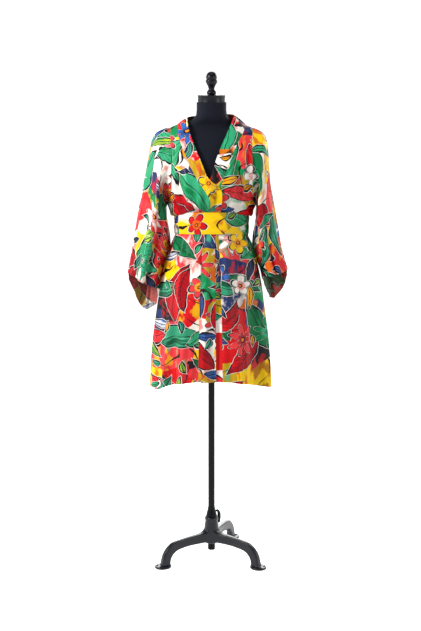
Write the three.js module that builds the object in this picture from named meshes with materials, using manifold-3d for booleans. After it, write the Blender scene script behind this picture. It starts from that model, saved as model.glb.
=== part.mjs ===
// A short kimono robe of printed satin, belted over a limbless dress form that stands on a pole
// and a cast three-legged base. Millimetres, +Z up. The front of the robe faces -Y.
// "Right" and "left" are the wearer's: the right front lies on top, on the -X side.

import * as THREE from 'three';
import { mergeVertices } from 'three/addons/utils/BufferGeometryUtils.js';
import Module from 'manifold-3d';

const wasm = await Module();
wasm.setup();

// ---------------------------------------------------------------- driving sizes
const CLOTH = 1.6;            // thickness of a cloth wall
const SEAM = 0.3;             // gap left between two pieces that are sewn together
const TOP_LAYER = 3.6;        // the right front stands this far outside the left one it laps over
const SASH = { tall: 71, thick: 1.8, clear: 0.7 };
const ARMPIT = 1222;          // level of the lowest point of the armholes
const RIDGE = 1497;           // level of the shoulder seam before the shoulders slope
const RIDGE_Y = 8;            // the shoulder seam lies this far behind the pole
const NECK_SEAM_X = 112;      // half the width of the neckline where it crosses the shoulder seam
const SLOPE = { from: 70, fall: 0.42 };   // shoulders fall from this x outwards
const HEM = { level: 612, front: 40, back: -24, corner: 14 };   // its rise in front and behind

const POLE = { radius: 11.5, tip: 25, top: 905 };
const BORE = POLE.radius + 0.4;

const deg = THREE.MathUtils.degToRad;
const lerp = THREE.MathUtils.lerp;
const smoothstep = THREE.MathUtils.smoothstep;

// ---------------------------------------------------------------- tables
// Outer surface of the cloth body: half-width, depth before and behind its middle, at each level.
const BODY = [
  { z: 560, wide: 204, front: 146, back: 152, mid: 0 },
  { z: 612, wide: 199, front: 141, back: 148, mid: 0 },
  { z: 681, wide: 193, front: 136, back: 144, mid: 0 },
  { z: 764, wide: 186, front: 130, back: 139, mid: 0 },
  { z: 860, wide: 177, front: 124, back: 134, mid: 0 },
  { z: 960, wide: 165, front: 117, back: 128, mid: 0 },
  { z: 1035, wide: 150, front: 111, back: 120, mid: 0 },
  { z: 1070, wide: 138, front: 107, back: 111, mid: 0 },
  { z: 1110, wide: 127, front: 103, back: 100, mid: 0 },
  { z: 1140, wide: 124, front: 101, back: 94, mid: 0 },
  { z: 1190, wide: 130, front: 108, back: 96, mid: 0 },
  { z: 1222, wide: 144, front: 111, back: 103, mid: 0 },
  { z: 1245, wide: 148, front: 120, back: 106, mid: 0 },
  { z: 1280, wide: 154, front: 129, back: 108, mid: 0 },
  { z: 1320, wide: 161, front: 126, back: 109, mid: 1 },
  { z: 1360, wide: 167, front: 116, back: 108, mid: 2 },
  { z: 1400, wide: 175, front: 103, back: 103, mid: 4 },
  { z: 1430, wide: 181, front: 90, back: 94, mid: 5 },
  { z: 1456, wide: 186, front: 74, back: 81, mid: 6 },
  { z: 1476, wide: 189, front: 55, back: 63, mid: 7 },
  { z: 1490, wide: 191, front: 31, back: 38, mid: RIDGE_Y },
  { z: 1497, wide: 192, front: 0, back: 0, mid: RIDGE_Y },
];
const WAIST = { wide: 121, front: 99, back: 89 };         // drawn in under the sash

// Distance of the armhole seam from the middle.
const ARMHOLE = [
  { z: 1222, x: 144 }, { z: 1245, x: 136 }, { z: 1280, x: 132 }, { z: 1320, x: 130 },
  { z: 1400, x: 130 }, { z: 1456, x: 132 }, { z: 1497, x: 134 },
];

// The neck and front bands: where the seam and the free edge run, and how far the edge stands up.
const RIGHT_BAND = [
  { z: 560, seam: -27, free: 9, stand: 0 },
  { z: 1130, seam: -26, free: 10, stand: 0 },
  { z: 1207, seam: -8, free: 28, stand: 0 },
  { z: 1245, seam: -4, free: 33, stand: 0 },
  { z: 1280, seam: -23, free: 30, stand: 0 },
  { z: 1310, seam: -43, free: -5, stand: 0 },
  { z: 1355, seam: -68, free: -27, stand: 0 },
  { z: 1399, seam: -86, free: -46, stand: 0 },
  { z: 1456, seam: -105, free: -69, stand: 1 },
  { z: 1480, seam: -111, free: -76, stand: 4 },
  { z: 1497, seam: -NECK_SEAM_X, free: -80, stand: 9 },
];
const LEFT_BAND = [
  { z: 560, seam: 23, free: -13, stand: 0 },
  { z: 1130, seam: 23, free: -13, stand: 0 },
  { z: 1207, seam: 8, free: -28, stand: 0 },
  { z: 1245, seam: 14, free: -24, stand: 0 },
  { z: 1302, seam: 34, free: -8, stand: 0 },
  { z: 1367, seam: 58, free: 11, stand: 0 },
  { z: 1416, seam: 78, free: 30, stand: 0 },
  { z: 1450, seam: 93, free: 47, stand: 2 },
  { z: 1480, seam: 106, free: 64, stand: 8 },
  { z: 1497, seam: NECK_SEAM_X, free: 74, stand: 15 },
];

// Long soft folds of the skirt: bearing from the front in degrees, breadth, and height at the hem.
const SKIRT_FOLDS = [
  { at: -66, wide: 8, out: 6 }, { at: -38, wide: 9, out: -5 }, { at: -16, wide: 6, out: 3 },
  { at: 27, wide: 6, out: 7 }, { at: 44, wide: 8, out: -6 }, { at: 64, wide: 7, out: 6 },
  { at: 104, wide: 8, out: -5 }, { at: 124, wide: 9, out: 8 }, { at: 148, wide: 9, out: -6 },
  { at: 172, wide: 9, out: 7 }, { at: 196, wide: 8, out: -6 }, { at: 222, wide: 10, out: 8 },
  { at: 250, wide: 8, out: -5 },
];

// Sleeves, ring by ring from the armhole: the outer fold, the underarm fold, the half-depths
// before and behind the middle, and how far the rear of the ring hangs below the front.
const RIGHT_SLEEVE = [
  { xo: 151, zo: 1468, xi: 147.5, zi: 1210, mid: 5, front: 84, back: 86, drop: 0 },
  { xo: 177, zo: 1456, xi: 148, zi: 1192, mid: 3, front: 84, back: 84, drop: 0 },
  { xo: 192, zo: 1434, xi: 148, zi: 1172, mid: 2, front: 82, back: 80, drop: 0 },
  { xo: 201, zo: 1395, xi: 142, zi: 1145, mid: 0, front: 79, back: 76, drop: 4 },
  { xo: 211, zo: 1348, xi: 138, zi: 1112, mid: -3, front: 75, back: 72, drop: 9 },
  { xo: 222, zo: 1292, xi: 139, zi: 1080, mid: -6, front: 71, back: 69, drop: 16 },
  { xo: 235, zo: 1226, xi: 146, zi: 1048, mid: -9, front: 67, back: 66, drop: 26 },
  { xo: 248, zo: 1150, xi: 156, zi: 1016, mid: -12, front: 62, back: 64, drop: 42 },
  { xo: 262, zo: 1074, xi: 165, zi: 980, mid: -15, front: 57, back: 62, drop: 72 },
  { xo: 277, zo: 998, xi: 171, zi: 942, mid: -18, front: 52, back: 60, drop: 108 },
];
const LEFT_SLEEVE = [
  { xo: 149, zo: 1465, xi: 147.5, zi: 1210, mid: 5, front: 84, back: 86, drop: 0 },
  { xo: 168, zo: 1453, xi: 148, zi: 1192, mid: 3, front: 85, back: 84, drop: 0 },
  { xo: 179, zo: 1430, xi: 148, zi: 1172, mid: 2, front: 84, back: 82, drop: 0 },
  { xo: 184, zo: 1395, xi: 142, zi: 1145, mid: 0, front: 82, back: 80, drop: 4 },
  { xo: 188, zo: 1348, xi: 138, zi: 1118, mid: -3, front: 79, back: 77, drop: 9 },
  { xo: 192, zo: 1298, xi: 138, zi: 1090, mid: -6, front: 75, back: 74, drop: 16 },
  { xo: 202, zo: 1240, xi: 143, zi: 1062, mid: -9, front: 71, back: 71, drop: 26 },
  { xo: 215, zo: 1166, xi: 151, zi: 1036, mid: -12, front: 66, back: 68, drop: 42 },
  { xo: 229, zo: 1088, xi: 160, zi: 1012, mid: -15, front: 60, back: 65, drop: 66 },
  { xo: 252, zo: 1008, xi: 168, zi: 985, mid: -18, front: 54, back: 62, drop: 98 },
];

// The dress form: half-width and depths at each level, from its flat base to the top of its neck.
const FORM = [
  { z: 800, wide: 146, front: 86, back: 96, mid: 0 },
  { z: 808, wide: 152, front: 91, back: 102, mid: 0 },
  { z: 860, wide: 156, front: 97, back: 110, mid: 0 },
  { z: 930, wide: 156, front: 100, back: 113, mid: 0 },
  { z: 1000, wide: 146, front: 98, back: 108, mid: 0 },
  { z: 1060, wide: 127, front: 92, back: 98, mid: 0 },
  { z: 1110, wide: 114, front: 87, back: 84, mid: 0 },
  { z: 1160, wide: 109, front: 86, back: 78, mid: 0 },
  { z: 1210, wide: 120, front: 98, back: 86, mid: 0 },
  { z: 1260, wide: 134, front: 110, back: 95, mid: 0 },
  { z: 1300, wide: 142, front: 117, back: 100, mid: 1 },
  { z: 1340, wide: 150, front: 108, back: 101, mid: 2 },
  { z: 1380, wide: 157, front: 95, back: 97, mid: 3 },
  { z: 1410, wide: 159, front: 85, back: 89, mid: 4 },
  { z: 1436, wide: 154, front: 70, back: 77, mid: 5 },
  { z: 1455, wide: 142, front: 55, back: 63, mid: 6 },
  { z: 1466, wide: 127, front: 44, back: 53, mid: 6 },
  { z: 1473, wide: 112, front: 38, back: 47, mid: 6 },
  { z: 1481, wide: 93, front: 38, back: 47, mid: 5 },
  { z: 1490, wide: 72, front: 41, back: 47, mid: 3 },
  { z: 1500, wide: 58, front: 46, back: 48, mid: 1 },
  { z: 1514, wide: 50, front: 49, back: 49, mid: 0 },
  { z: 1532, wide: 48.5, front: 48.5, back: 48.5, mid: 0 },
  { z: 1551.5, wide: 48.5, front: 48.5, back: 48.5, mid: 0 },
];

// ---------------------------------------------------------------- curves through tables
// A smooth curve through one column of a table, which never overshoots between two rows.
function column(rows, key, by = 'z') {
  const step = rows.slice(1).map((row, i) => (row[key] - rows[i][key]) / (row[by] - rows[i][by]));
  const tangent = rows.map((_, i) => {
    if (i === 0) return step[0];
    if (i === rows.length - 1) return step[i - 1];
    const [before, after] = [step[i - 1], step[i]];
    return before * after <= 0 ? 0 : (2 * before * after) / (before + after);
  });
  return (at) => {
    let i = rows.findIndex((row) => row[by] > at) - 1;
    if (i < 0) i = at <= rows[0][by] ? 0 : rows.length - 2;
    const span = rows[i + 1][by] - rows[i][by];
    const t = THREE.MathUtils.clamp((at - rows[i][by]) / span, 0, 1);
    const [a, b] = [rows[i][key], rows[i + 1][key]];
    const bend = (tangent[i] * (1 - t) - tangent[i + 1] * t) * span * t * (1 - t);
    return a + (b - a) * t * t * (3 - 2 * t) + bend;
  };
}

function columns(rows, by = 'z') {
  const keys = Object.keys(rows[0]).filter((key) => key !== by);
  const curves = Object.fromEntries(keys.map((key) => [key, column(rows, key, by)]));
  return (at) => Object.fromEntries(keys.map((key) => [key, curves[key](at)]));
}

const bodySize = columns(BODY);
const formSize = columns(FORM);
const armholeX = column(ARMHOLE, 'x');
const rightBand = columns(RIGHT_BAND);
const leftBand = columns(LEFT_BAND);

// ---------------------------------------------------------------- the cloth body
const ROUNDNESS = 2.3;        // of the sections: 2 is an ellipse, more is squarer

const signedPower = (value, power) => Math.sign(value) * Math.abs(value) ** power;

// A point of a section. The bearing runs from the front (0) over +X (90) to the back (180).
function sectionPoint(size, bearing, z, grow = 0) {
  const across = signedPower(Math.sin(deg(bearing)), 2 / ROUNDNESS);
  const along = signedPower(Math.cos(deg(bearing)), 2 / ROUNDNESS);
  const depth = along > 0 ? size.front : size.back;
  const rise = depth > 1 ? grow : 0;
  return new THREE.Vector3((size.wide + grow) * across, size.mid - (depth + rise) * along, z);
}

// The bearing, before or behind the middle, at which a section reaches a given x.
function bearingAt(size, x, behind = false) {
  const reach = THREE.MathUtils.clamp(Math.abs(x) / size.wide, 0, 1);
  const angle = THREE.MathUtils.radToDeg(Math.asin(reach ** (ROUNDNESS / 2)));
  return behind ? 180 - Math.sign(x) * angle : Math.sign(x) * angle;
}

const sashFoot = (bearing) => 1124 + 11.5 * Math.cos(deg(bearing));
const sashTop = (bearing) => sashFoot(bearing) + SASH.tall;
// The hem rises in front, drops behind, and dips where the right front turns to its side seam.
const hemLevel = (bearing) => {
  const facing = Math.cos(deg(bearing));
  const corner = HEM.corner * Math.exp(-(((bearing + 62) / 13) ** 2));
  return HEM.level + (facing > 0 ? HEM.front : HEM.back) * facing ** 2 - corner;
};
// How far the bodice hangs over the top of the sash: most at the sides, a little behind.
const OVERHANG = { side: 20, back: 6, front: 0 };
const overhang = (bearing) => {
  const facing = Math.cos(deg(bearing));
  return lerp(OVERHANG.side, facing < 0 ? OVERHANG.back : OVERHANG.front, facing ** 2);
};
// The gathers above the sash stand out half as far in front as at the sides.
const fullness = (bearing) => {
  const facing = Math.cos(deg(bearing));
  return 1 - (facing > 0 ? 0.5 : 0.2) * facing ** 2;
};

function skirtFold(bearing, z) {
  const strength = lerp(1, 0.25, smoothstep(z, 640, 1110)) * (1 - smoothstep(z, 1085, 1120));
  let out = 0;
  for (const fold of SKIRT_FOLDS) {
    const away = THREE.MathUtils.euclideanModulo(bearing - fold.at + 180, 360) - 180;
    out += fold.out * Math.exp(-((away / fold.wide) ** 2));
  }
  return out * strength;
}

// The right front laps over the left one: its surface steps out towards and past the middle.
const LAP = { from: -42, to: -22, fadeFrom: 1300, fadeTo: 1380 };
const lapStep = (bearing) => TOP_LAYER * smoothstep(bearing, LAP.from, LAP.to);

// Rows of the cloth body from the hem to the shoulder: a share of the skirt's height, a place
// at the sash, or a level of the bodice.
const ROWS = [
  ...[0, 0.1, 0.23, 0.38, 0.54, 0.7, 0.84, 0.95].map((share) => ({ skirt: share })),
  { sash: 0, grow: 0 }, { sash: 1, grow: 0 },
  { blouse: 0, up: 2, grow: 4 }, { blouse: 0.95, up: 4.5, grow: 7.5 },
  { blouse: 1, up: 8, grow: 11.5 }, { blouse: 0.1, up: 12, grow: 18 },
  ...[1222, 1245, 1280, 1320, 1360, 1400, 1430, 1456, 1476, 1490, 1497].map((level) => ({ level })),
];
const ARMPIT_ROW = ROWS.findIndex((row) => row.level === ARMPIT);
const LAST_ROW = ROWS.length - 1;

const waistSize = { ...WAIST, mid: 0 };

// A point of the cloth body on one of its rows.
function bodyPoint(row, bearing, level = row.level) {
  if (row.skirt !== undefined) {
    const z = lerp(hemLevel(bearing), sashFoot(bearing) - 5, row.skirt);
    return sectionPoint(bodySize(z), bearing, z, skirtFold(bearing, z));
  }
  if (row.sash !== undefined) {
    return sectionPoint(waistSize, bearing, lerp(sashFoot(bearing), sashTop(bearing), row.sash));
  }
  if (row.blouse !== undefined) {
    const z = sashTop(bearing) + row.up - overhang(bearing) * row.blouse;
    return sectionPoint(waistSize, bearing, z, row.grow * fullness(bearing));
  }
  const point = sectionPoint(bodySize(level), bearing, level);
  const shoulder = Math.max(0, Math.abs(point.x) - SLOPE.from) * SLOPE.fall;
  point.z -= shoulder * smoothstep(level, 1300, RIDGE);
  return point;
}

const rowSize = (row) => (row.level === undefined ? waistSize : bodySize(row.level));

// The side seams: a little before the widest place of the skirt, and at it under the arms.
function sideBearing(row, side) {
  if (row.level > ARMPIT) return bearingAt(rowSize(row), side * armholeX(row.level));
  const low = side < 0 ? 80 : 86;
  return side * (row.skirt === undefined ? 90 : lerp(low, 90, row.skirt));
}

// Half of a seam's gap, as a turn of bearing.
const gapBearing = (size) => THREE.MathUtils.radToDeg(SEAM / 2 / size.wide);

// ---------------------------------------------------------------- making walls from grids
// Normals of a grid of points, rows by columns. A closed grid joins its last column to its first.
function gridNormals(grid, closed) {
  const [rows, cols] = [grid.length, grid[0].length];
  const at = (j, i) => {
    const col = closed ? (i + cols) % cols : THREE.MathUtils.clamp(i, 0, cols - 1);
    return grid[THREE.MathUtils.clamp(j, 0, rows - 1)][col];
  };
  return grid.map((line, j) => line.map((_, i) => {
    const across = at(j, i + 1).clone().sub(at(j, i - 1));
    const along = at(j + 1, i).clone().sub(at(j - 1, i));
    return across.cross(along).normalize();
  }));
}

// A closed wall: the grid is its outer face, and the inner face lies a thickness behind it.
function wall(grid, { thick = CLOTH, closed = false, side = 1, adjust = null } = {}) {
  const outward = gridNormals(grid, closed);
  const [rows, cols] = [grid.length, grid[0].length];
  if (adjust) outward.forEach((line, j) => line.forEach((normal, i) => adjust(normal, j, i)));
  const inner = grid.map((line, j) => line.map((point, i) => (
    point.clone().addScaledVector(outward[j][i], -thick * side))));
  const position = [...grid.flat(), ...inner.flat()].flatMap((point) => point.toArray());
  const outerAt = (j, i) => j * cols + (i % cols);
  const innerAt = (j, i) => rows * cols + j * cols + (i % cols);
  const index = [];
  const quad = (a, b, c, d) => index.push(...(side > 0 ? [a, b, c, a, c, d] : [a, c, b, a, d, c]));
  const across = closed ? cols : cols - 1;
  for (let j = 0; j < rows - 1; j += 1) {
    for (let i = 0; i < across; i += 1) {
      quad(outerAt(j, i), outerAt(j, i + 1), outerAt(j + 1, i + 1), outerAt(j + 1, i));
      quad(innerAt(j + 1, i), innerAt(j + 1, i + 1), innerAt(j, i + 1), innerAt(j, i));
    }
    if (!closed) {
      quad(outerAt(j + 1, 0), innerAt(j + 1, 0), innerAt(j, 0), outerAt(j, 0));
      quad(outerAt(j, cols - 1), innerAt(j, cols - 1), innerAt(j + 1, cols - 1), outerAt(j + 1, cols - 1));
    }
  }
  for (let i = 0; i < across; i += 1) {
    quad(outerAt(0, i + 1), outerAt(0, i), innerAt(0, i), innerAt(0, i + 1));
    quad(outerAt(rows - 1, i), outerAt(rows - 1, i + 1), innerAt(rows - 1, i + 1), innerAt(rows - 1, i));
  }
  const geometry = new THREE.BufferGeometry();
  geometry.setAttribute('position', new THREE.Float32BufferAttribute(position, 3));
  geometry.setIndex(index);
  return geometry;
}

const range = (count) => Array.from({ length: count }, (_, i) => i);

// ---------------------------------------------------------------- panels of the robe
const FRONT_COLUMNS = 12;
const BACK_COLUMNS = 22;
const NECK_SHARE = 8 / 11;    // share of the back's top row that is neckline, not shoulder seam

// A front panel, from its side seam and armhole to the seam of its band.
function frontGrid(side, band, lap) {
  return ROWS.map((row, j) => {
    const size = rowSize(row);
    const seamBearing = bearingAt(size, bandX(band, row, 'seam'));
    const outer = sideBearing(row, side) - side * gapBearing(size);
    return range(FRONT_COLUMNS + 1).map((i) => {
      const share = side < 0 ? i / FRONT_COLUMNS : 1 - i / FRONT_COLUMNS;
      const bearing = lerp(outer, seamBearing, share);
      const point = bodyPoint(row, bearing);
      if (lap) stepOut(point, row, bearing);
      if (j === LAST_ROW) point.y -= SEAM / 2;
      return point;
    });
  });
}

// Where a band's seam or free edge lies on a row.
function bandX(band, row, edge) {
  if (row.skirt !== undefined) return band(lerp(HEM.level, sashFoot(0) - 5, row.skirt))[edge];
  if (row.sash !== undefined) return band(lerp(sashFoot(0), sashTop(0), row.sash))[edge];
  if (row.blouse !== undefined) return band(sashTop(0) + 3)[edge];
  return band(row.level)[edge];
}

// Moves a point of the overlapping front out of its section by the lap's step.
function stepOut(point, row, bearing) {
  const fade = row.level === undefined ? 1 : 1 - smoothstep(row.level, LAP.fadeFrom, LAP.fadeTo);
  const out = lapStep(bearing) * fade;
  point.x += Math.sin(deg(bearing)) * out;
  point.y -= Math.cos(deg(bearing)) * out;
}

// A front band, from its seam to its free edge.
const BAND_COLUMNS = 2;
function bandGrid(side, band, lap) {
  return ROWS.map((row, j) => {
    const size = rowSize(row);
    const seamX = bandX(band, row, 'seam') - side * 1.5 * SEAM;
    const freeX = bandX(band, row, 'free');
    const stand = row.level === undefined ? 0 : band(row.level).stand;
    return range(BAND_COLUMNS + 1).map((i) => {
      const share = side < 0 ? i / BAND_COLUMNS : 1 - i / BAND_COLUMNS;
      const bearing = bearingAt(size, lerp(seamX, freeX, share));
      const point = bodyPoint(row, bearing);
      if (lap) stepOut(point, row, bearing);
      point.z += stand * share;
      if (j === LAST_ROW) point.y -= SEAM / 2;
      return point;
    });
  });
}

// Level of the back's neckline at a given x, up to where it meets the shoulder seam.
const necklineLevel = (x) => RIDGE - 31 * (1 - Math.min(1, Math.abs(x) / NECK_SEAM_X) ** 2.4);

// The back, from the left armhole round to the right one. Its upper rows close in on the neckline.
function backGrid() {
  return ROWS.map((row, j) => {
    const size = rowSize(row);
    const upper = row.level === undefined ? 0 : smoothstep(row.level, ARMPIT, 1320);
    return range(BACK_COLUMNS + 1).map((i) => {
      const share = 1 - (2 * i) / BACK_COLUMNS;                 // from +1 at +X to -1 at -X
      const side = share < 0 ? -1 : 1;
      const seam = sideBearing({ ...row, level: Math.min(row.level ?? 0, ARMPIT) }, side);
      const low = 180 - side * Math.abs(share) * (180 - Math.abs(seam));
      if (upper === 0) return bodyPoint(row, low + (Math.abs(share) === 1 ? side * gapBearing(size) : 0));
      const edgeX = armholeX(row.level);
      const neckShare = Math.abs(share) / NECK_SHARE;
      const topX = neckShare <= 1 ? neckShare * NECK_SEAM_X
        : lerp(NECK_SEAM_X, armholeX(RIDGE), (Math.abs(share) - NECK_SHARE) / (1 - NECK_SHARE));
      const x = lerp(Math.abs(share) * edgeX, topX, smoothstep(row.level, 1400, RIDGE));
      const level = lerp(row.level, squeezed(row.level, topX), neckShare < 1 ? 1 : 0);
      const high = bearingAt(bodySize(level), side * x, true);
      const point = bodyPoint(row, lerp(low, high, upper), level);
      if (j === LAST_ROW) point.y += SEAM / 2;
      return point;
    });
  });
}

// Rows above the shoulder blades are squeezed together below the neckline.
function squeezed(level, x) {
  const from = 1360;
  if (level <= from) return level;
  return lerp(from, necklineLevel(x), (level - from) / (RIDGE - from));
}

// The neck band's piece behind the neck, from one shoulder seam to the other.
const NECK_BAND_COLUMNS = 2 * Math.round((BACK_COLUMNS / 2) * NECK_SHARE);
const NECK_BAND = { behind: 58, rise: 3 };    // its free edge bows behind the neck, and rises
function neckBandGrid() {
  const backRow = backGrid()[LAST_ROW];
  const skip = (BACK_COLUMNS - NECK_BAND_COLUMNS) / 2;
  const seam = backRow.slice(skip, skip + NECK_BAND_COLUMNS + 1);
  const ends = [leftBand(RIDGE), rightBand(RIDGE)];
  const endZ = ends.map((end) => RIDGE - (Math.abs(end.free) - SLOPE.from) * SLOPE.fall + end.stand);
  const free = seam.map((_, i) => {
    const turn = Math.PI * (i / NECK_BAND_COLUMNS);
    const reach = lerp(ends[0].free, -ends[1].free, (1 - Math.cos(turn)) / 2);
    const level = lerp(endZ[0], endZ[1], (1 - Math.cos(turn)) / 2);
    return new THREE.Vector3(reach * Math.cos(turn),
      RIDGE_Y + SEAM / 2 + NECK_BAND.behind * Math.sin(turn), level + NECK_BAND.rise * Math.sin(turn));
  });
  return range(3).map((j) => seam.map((point, i) => {
    const across = free[i].clone().sub(point);
    return point.clone().addScaledVector(across, lerp(SEAM / across.length(), 1, j / 2));
  }));
}

// ---------------------------------------------------------------- sleeves
// Points of an armhole as its sleeve meets it, from the shoulder down the front and up the back.
function armholeRing(side) {
  const rows = range(LAST_ROW - ARMPIT_ROW + 1).map((k) => ROWS[LAST_ROW - k]);
  const front = rows.map((row) => bodyPoint(row, sideBearing(row, side)));
  const back = backGrid().slice(ARMPIT_ROW).reverse().map((line) => line[side > 0 ? 0 : BACK_COLUMNS]);
  const ring = [...front, ...back.slice(1, -1).reverse()];
  return ring.map((point) => point.clone().setX(point.x + side * 1.5 * SEAM));
}

const SLEEVE_RINGS = 13;
const RING_SPREAD = 1.15;     // over 1, the rings are closer together near the armhole
const SLEEVE_CORNER = 1.55;   // roundness of a sleeve's section: under 2 its folds are sharper

function sleeveGrid(side, rows) {
  const armhole = armholeRing(side);
  const steps = rows.length;
  const ring = columns(rows.map((row, i) => ({ ...row, at: i + 1 })), 'at');
  const shape = (size, k) => {
    const turn = (2 * Math.PI * k) / armhole.length;
    const out = signedPower(Math.cos(turn), 2 / SLEEVE_CORNER);
    const ahead = signedPower(Math.sin(turn), 2 / SLEEVE_CORNER);
    const [middleX, middleZ] = [(size.xo + size.xi) / 2, (size.zo + size.zi) / 2];
    return new THREE.Vector3(
      side * (middleX + ((size.xo - size.xi) / 2) * out),
      size.mid - (ahead > 0 ? size.front : size.back) * ahead,
      middleZ + ((size.zo - size.zi) / 2) * out + (ahead < 0 ? size.drop * ahead : 0));
  };
  return range(SLEEVE_RINGS + 1).map((j) => {
    if (j === 0) return armhole;
    const at = lerp(0, steps, (j / SLEEVE_RINGS) ** RING_SPREAD);
    const size = ring(Math.max(1, at));
    return armhole.map((start, k) => {
      const point = shape(size, k);
      return at < 1 ? start.clone().lerp(point, at) : point;
    });
  });
}

function sleeve(side, rows) {
  const grid = sleeveGrid(side, rows);
  // At the armhole the wall stands square to the seam, so that it doesn't reach past it.
  const adjust = (normal, j, k) => {
    if (j > 0) return;
    const turn = (2 * Math.PI * k) / grid[0].length;
    normal.set(0, -Math.sin(turn), Math.cos(turn)).multiplyScalar(side > 0 ? 1 : -1);
  };
  return wall(grid, { closed: true, side: side > 0 ? 1 : -1, adjust });
}

// ---------------------------------------------------------------- the sash
const SASH_COLUMNS = 40;
const SASH_EASES = { from: 16, to: 30 };      // it comes back in past the edge of the top layer
const sashGrow = (bearing) => {
  const away = THREE.MathUtils.euclideanModulo(bearing + 180, 360) - 180;
  const eased = 1 - smoothstep(away, SASH_EASES.from, SASH_EASES.to);
  return lapStep(away) * eased + SASH.clear + SASH.thick;
};

function sashBand() {
  const grid = range(3).map((j) => range(SASH_COLUMNS).map((i) => {
    const bearing = (360 * i) / SASH_COLUMNS;
    const z = lerp(sashFoot(bearing), sashTop(bearing) - 0.5, j / 2);
    return sectionPoint(waistSize, bearing, z, sashGrow(bearing));
  }));
  return wall(grid, { thick: SASH.thick, closed: true });
}

// ---------------------------------------------------------------- solids of the stand
// The corners of a geometry alone, each kept once.
function welded(geometry) {
  const bare = geometry.clone();
  bare.deleteAttribute('normal');
  bare.deleteAttribute('uv');
  return mergeVertices(bare, 1e-4);
}

const toManifold = (geometry) => {
  const merged = welded(geometry);
  return new wasm.Manifold(new wasm.Mesh({
    numProp: 3,
    vertProperties: new Float32Array(merged.attributes.position.array),
    triVerts: new Uint32Array(merged.index.array),
  }));
};

const fromManifold = (solid) => {
  const mesh = solid.getMesh();
  const geometry = new THREE.BufferGeometry();
  geometry.setAttribute('position', new THREE.BufferAttribute(new Float32Array(mesh.vertProperties), 3));
  geometry.setIndex(new THREE.BufferAttribute(new Uint32Array(mesh.triVerts), 1));
  return geometry;
};

// A body turned about the pole from [radius, height] pairs.
function turned(profile, segments = 32) {
  const geometry = new THREE.LatheGeometry(profile.map(([r, z]) => new THREE.Vector2(r, z)), segments);
  return geometry.rotateX(Math.PI / 2);
}

// The form's surface is a closed skin of rings with a flat base and a flat neck top.
const FORM_COLUMNS = 36;
function dressForm() {
  const levels = FORM.map((row) => row.z);
  const rings = levels.map((z) => range(FORM_COLUMNS).map((i) => (
    sectionPoint(formSize(z), (360 * i) / FORM_COLUMNS, z))));
  const position = rings.flat().flatMap((point) => point.toArray());
  position.push(0, 0, levels[0], 0, 0, levels.at(-1));
  const [foot, top] = [rings.length * FORM_COLUMNS, rings.length * FORM_COLUMNS + 1];
  const index = [];
  for (let i = 0; i < FORM_COLUMNS; i += 1) {
    const next = (i + 1) % FORM_COLUMNS;
    for (let j = 0; j < rings.length - 1; j += 1) {
      const [a, b] = [j * FORM_COLUMNS + i, j * FORM_COLUMNS + next];
      index.push(a, b, b + FORM_COLUMNS, a, b + FORM_COLUMNS, a + FORM_COLUMNS);
    }
    const last = (rings.length - 1) * FORM_COLUMNS;
    index.push(foot, next, i, top, last + i, last + next);
  }
  const geometry = new THREE.BufferGeometry();
  geometry.setAttribute('position', new THREE.Float32BufferAttribute(position, 3));
  geometry.setIndex(index);
  const [mouth, end] = [levels[0] - 1, POLE.top + 1.4];
  const socket = turned([[0, mouth], [BORE, mouth], [BORE, end], [0, end]], 24);
  return fromManifold(toManifold(geometry).subtract(toManifold(socket)));
}

const HUB = [
  [BORE, 52], [24, 52], [28, 56], [28.5, 66], [27, 84], [24.5, 100], [21.5, 120], [20, 132],
  [21.2, 134], [21.2, 142], [19.6, 145], [BORE, 145], [BORE, 52],
];
const COLLAR = [
  [0, 145.3], [17.2, 145.3], [17.5, 150], [15.6, 158], [13.6, 168], [13, 178], [0, 178],
];
const NECK_CAP = [
  [0, 1551.8], [45, 1551.8], [46, 1554], [46, 1563], [44, 1570], [38, 1574], [12, 1575.5], [0, 1575.5],
];
const FINIAL = [
  [0, 1575.8], [11.5, 1575.8], [14.6, 1579], [14.6, 1583], [11, 1590], [8.7, 1597], [9.6, 1603],
  [14.5, 1609], [18.2, 1614], [18.5, 1619], [15.2, 1623], [14.2, 1625.5], [17, 1628], [19, 1633],
  [18.2, 1640], [14.6, 1646], [8, 1649.3], [0, 1650],
];

// ---------------------------------------------------------------- legs
const LEG = { wide: 20, bevel: 2.5, root: 12, foot: 187 };
const LEGS = { right: 213, left: 324, rear: 68 };        // bearings from +X
const PAD = { length: 29, breadth: 26, thick: 8, bevel: 1.5, centre: 195 };

// Side view of a leg: out from the hub, then round in a quarter bend and down to its pad.
function legOutline() {
  const [top, under] = [95, 60];
  const outline = new THREE.Shape();
  outline.moveTo(LEG.root, under);
  outline.lineTo(36, under);
  outline.lineTo(112, 55);
  outline.bezierCurveTo(150, 51, 169, 38, LEG.foot - 15, PAD.thick + SEAM);
  outline.lineTo(LEG.foot + 15, PAD.thick + SEAM);
  outline.bezierCurveTo(200, 52, 170, 80, 112, 86);
  outline.lineTo(36, top - 1);
  outline.lineTo(LEG.root, top + 8);
  outline.closePath();
  return outline;
}

function leg(bearing) {
  const body = new THREE.ExtrudeGeometry(legOutline(), {
    depth: LEG.wide - 2 * LEG.bevel, curveSegments: 7,
    bevelThickness: LEG.bevel, bevelSize: LEG.bevel, bevelOffset: -LEG.bevel, bevelSegments: 1,
  });
  body.translate(0, 0, -(LEG.wide / 2 - LEG.bevel)).rotateX(Math.PI / 2);
  const skin = HUB.filter(([r]) => r !== BORE).map(([r, z]) => [r + SEAM, z]);
  const [below, above] = [[skin[0][0], 40], [skin.at(-1)[0], 150]];
  const core = turned([[0, below[1]], below, ...skin, above, [0, above[1]]]);
  return fromManifold(toManifold(body).subtract(toManifold(core))).rotateZ(deg(bearing));
}

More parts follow.
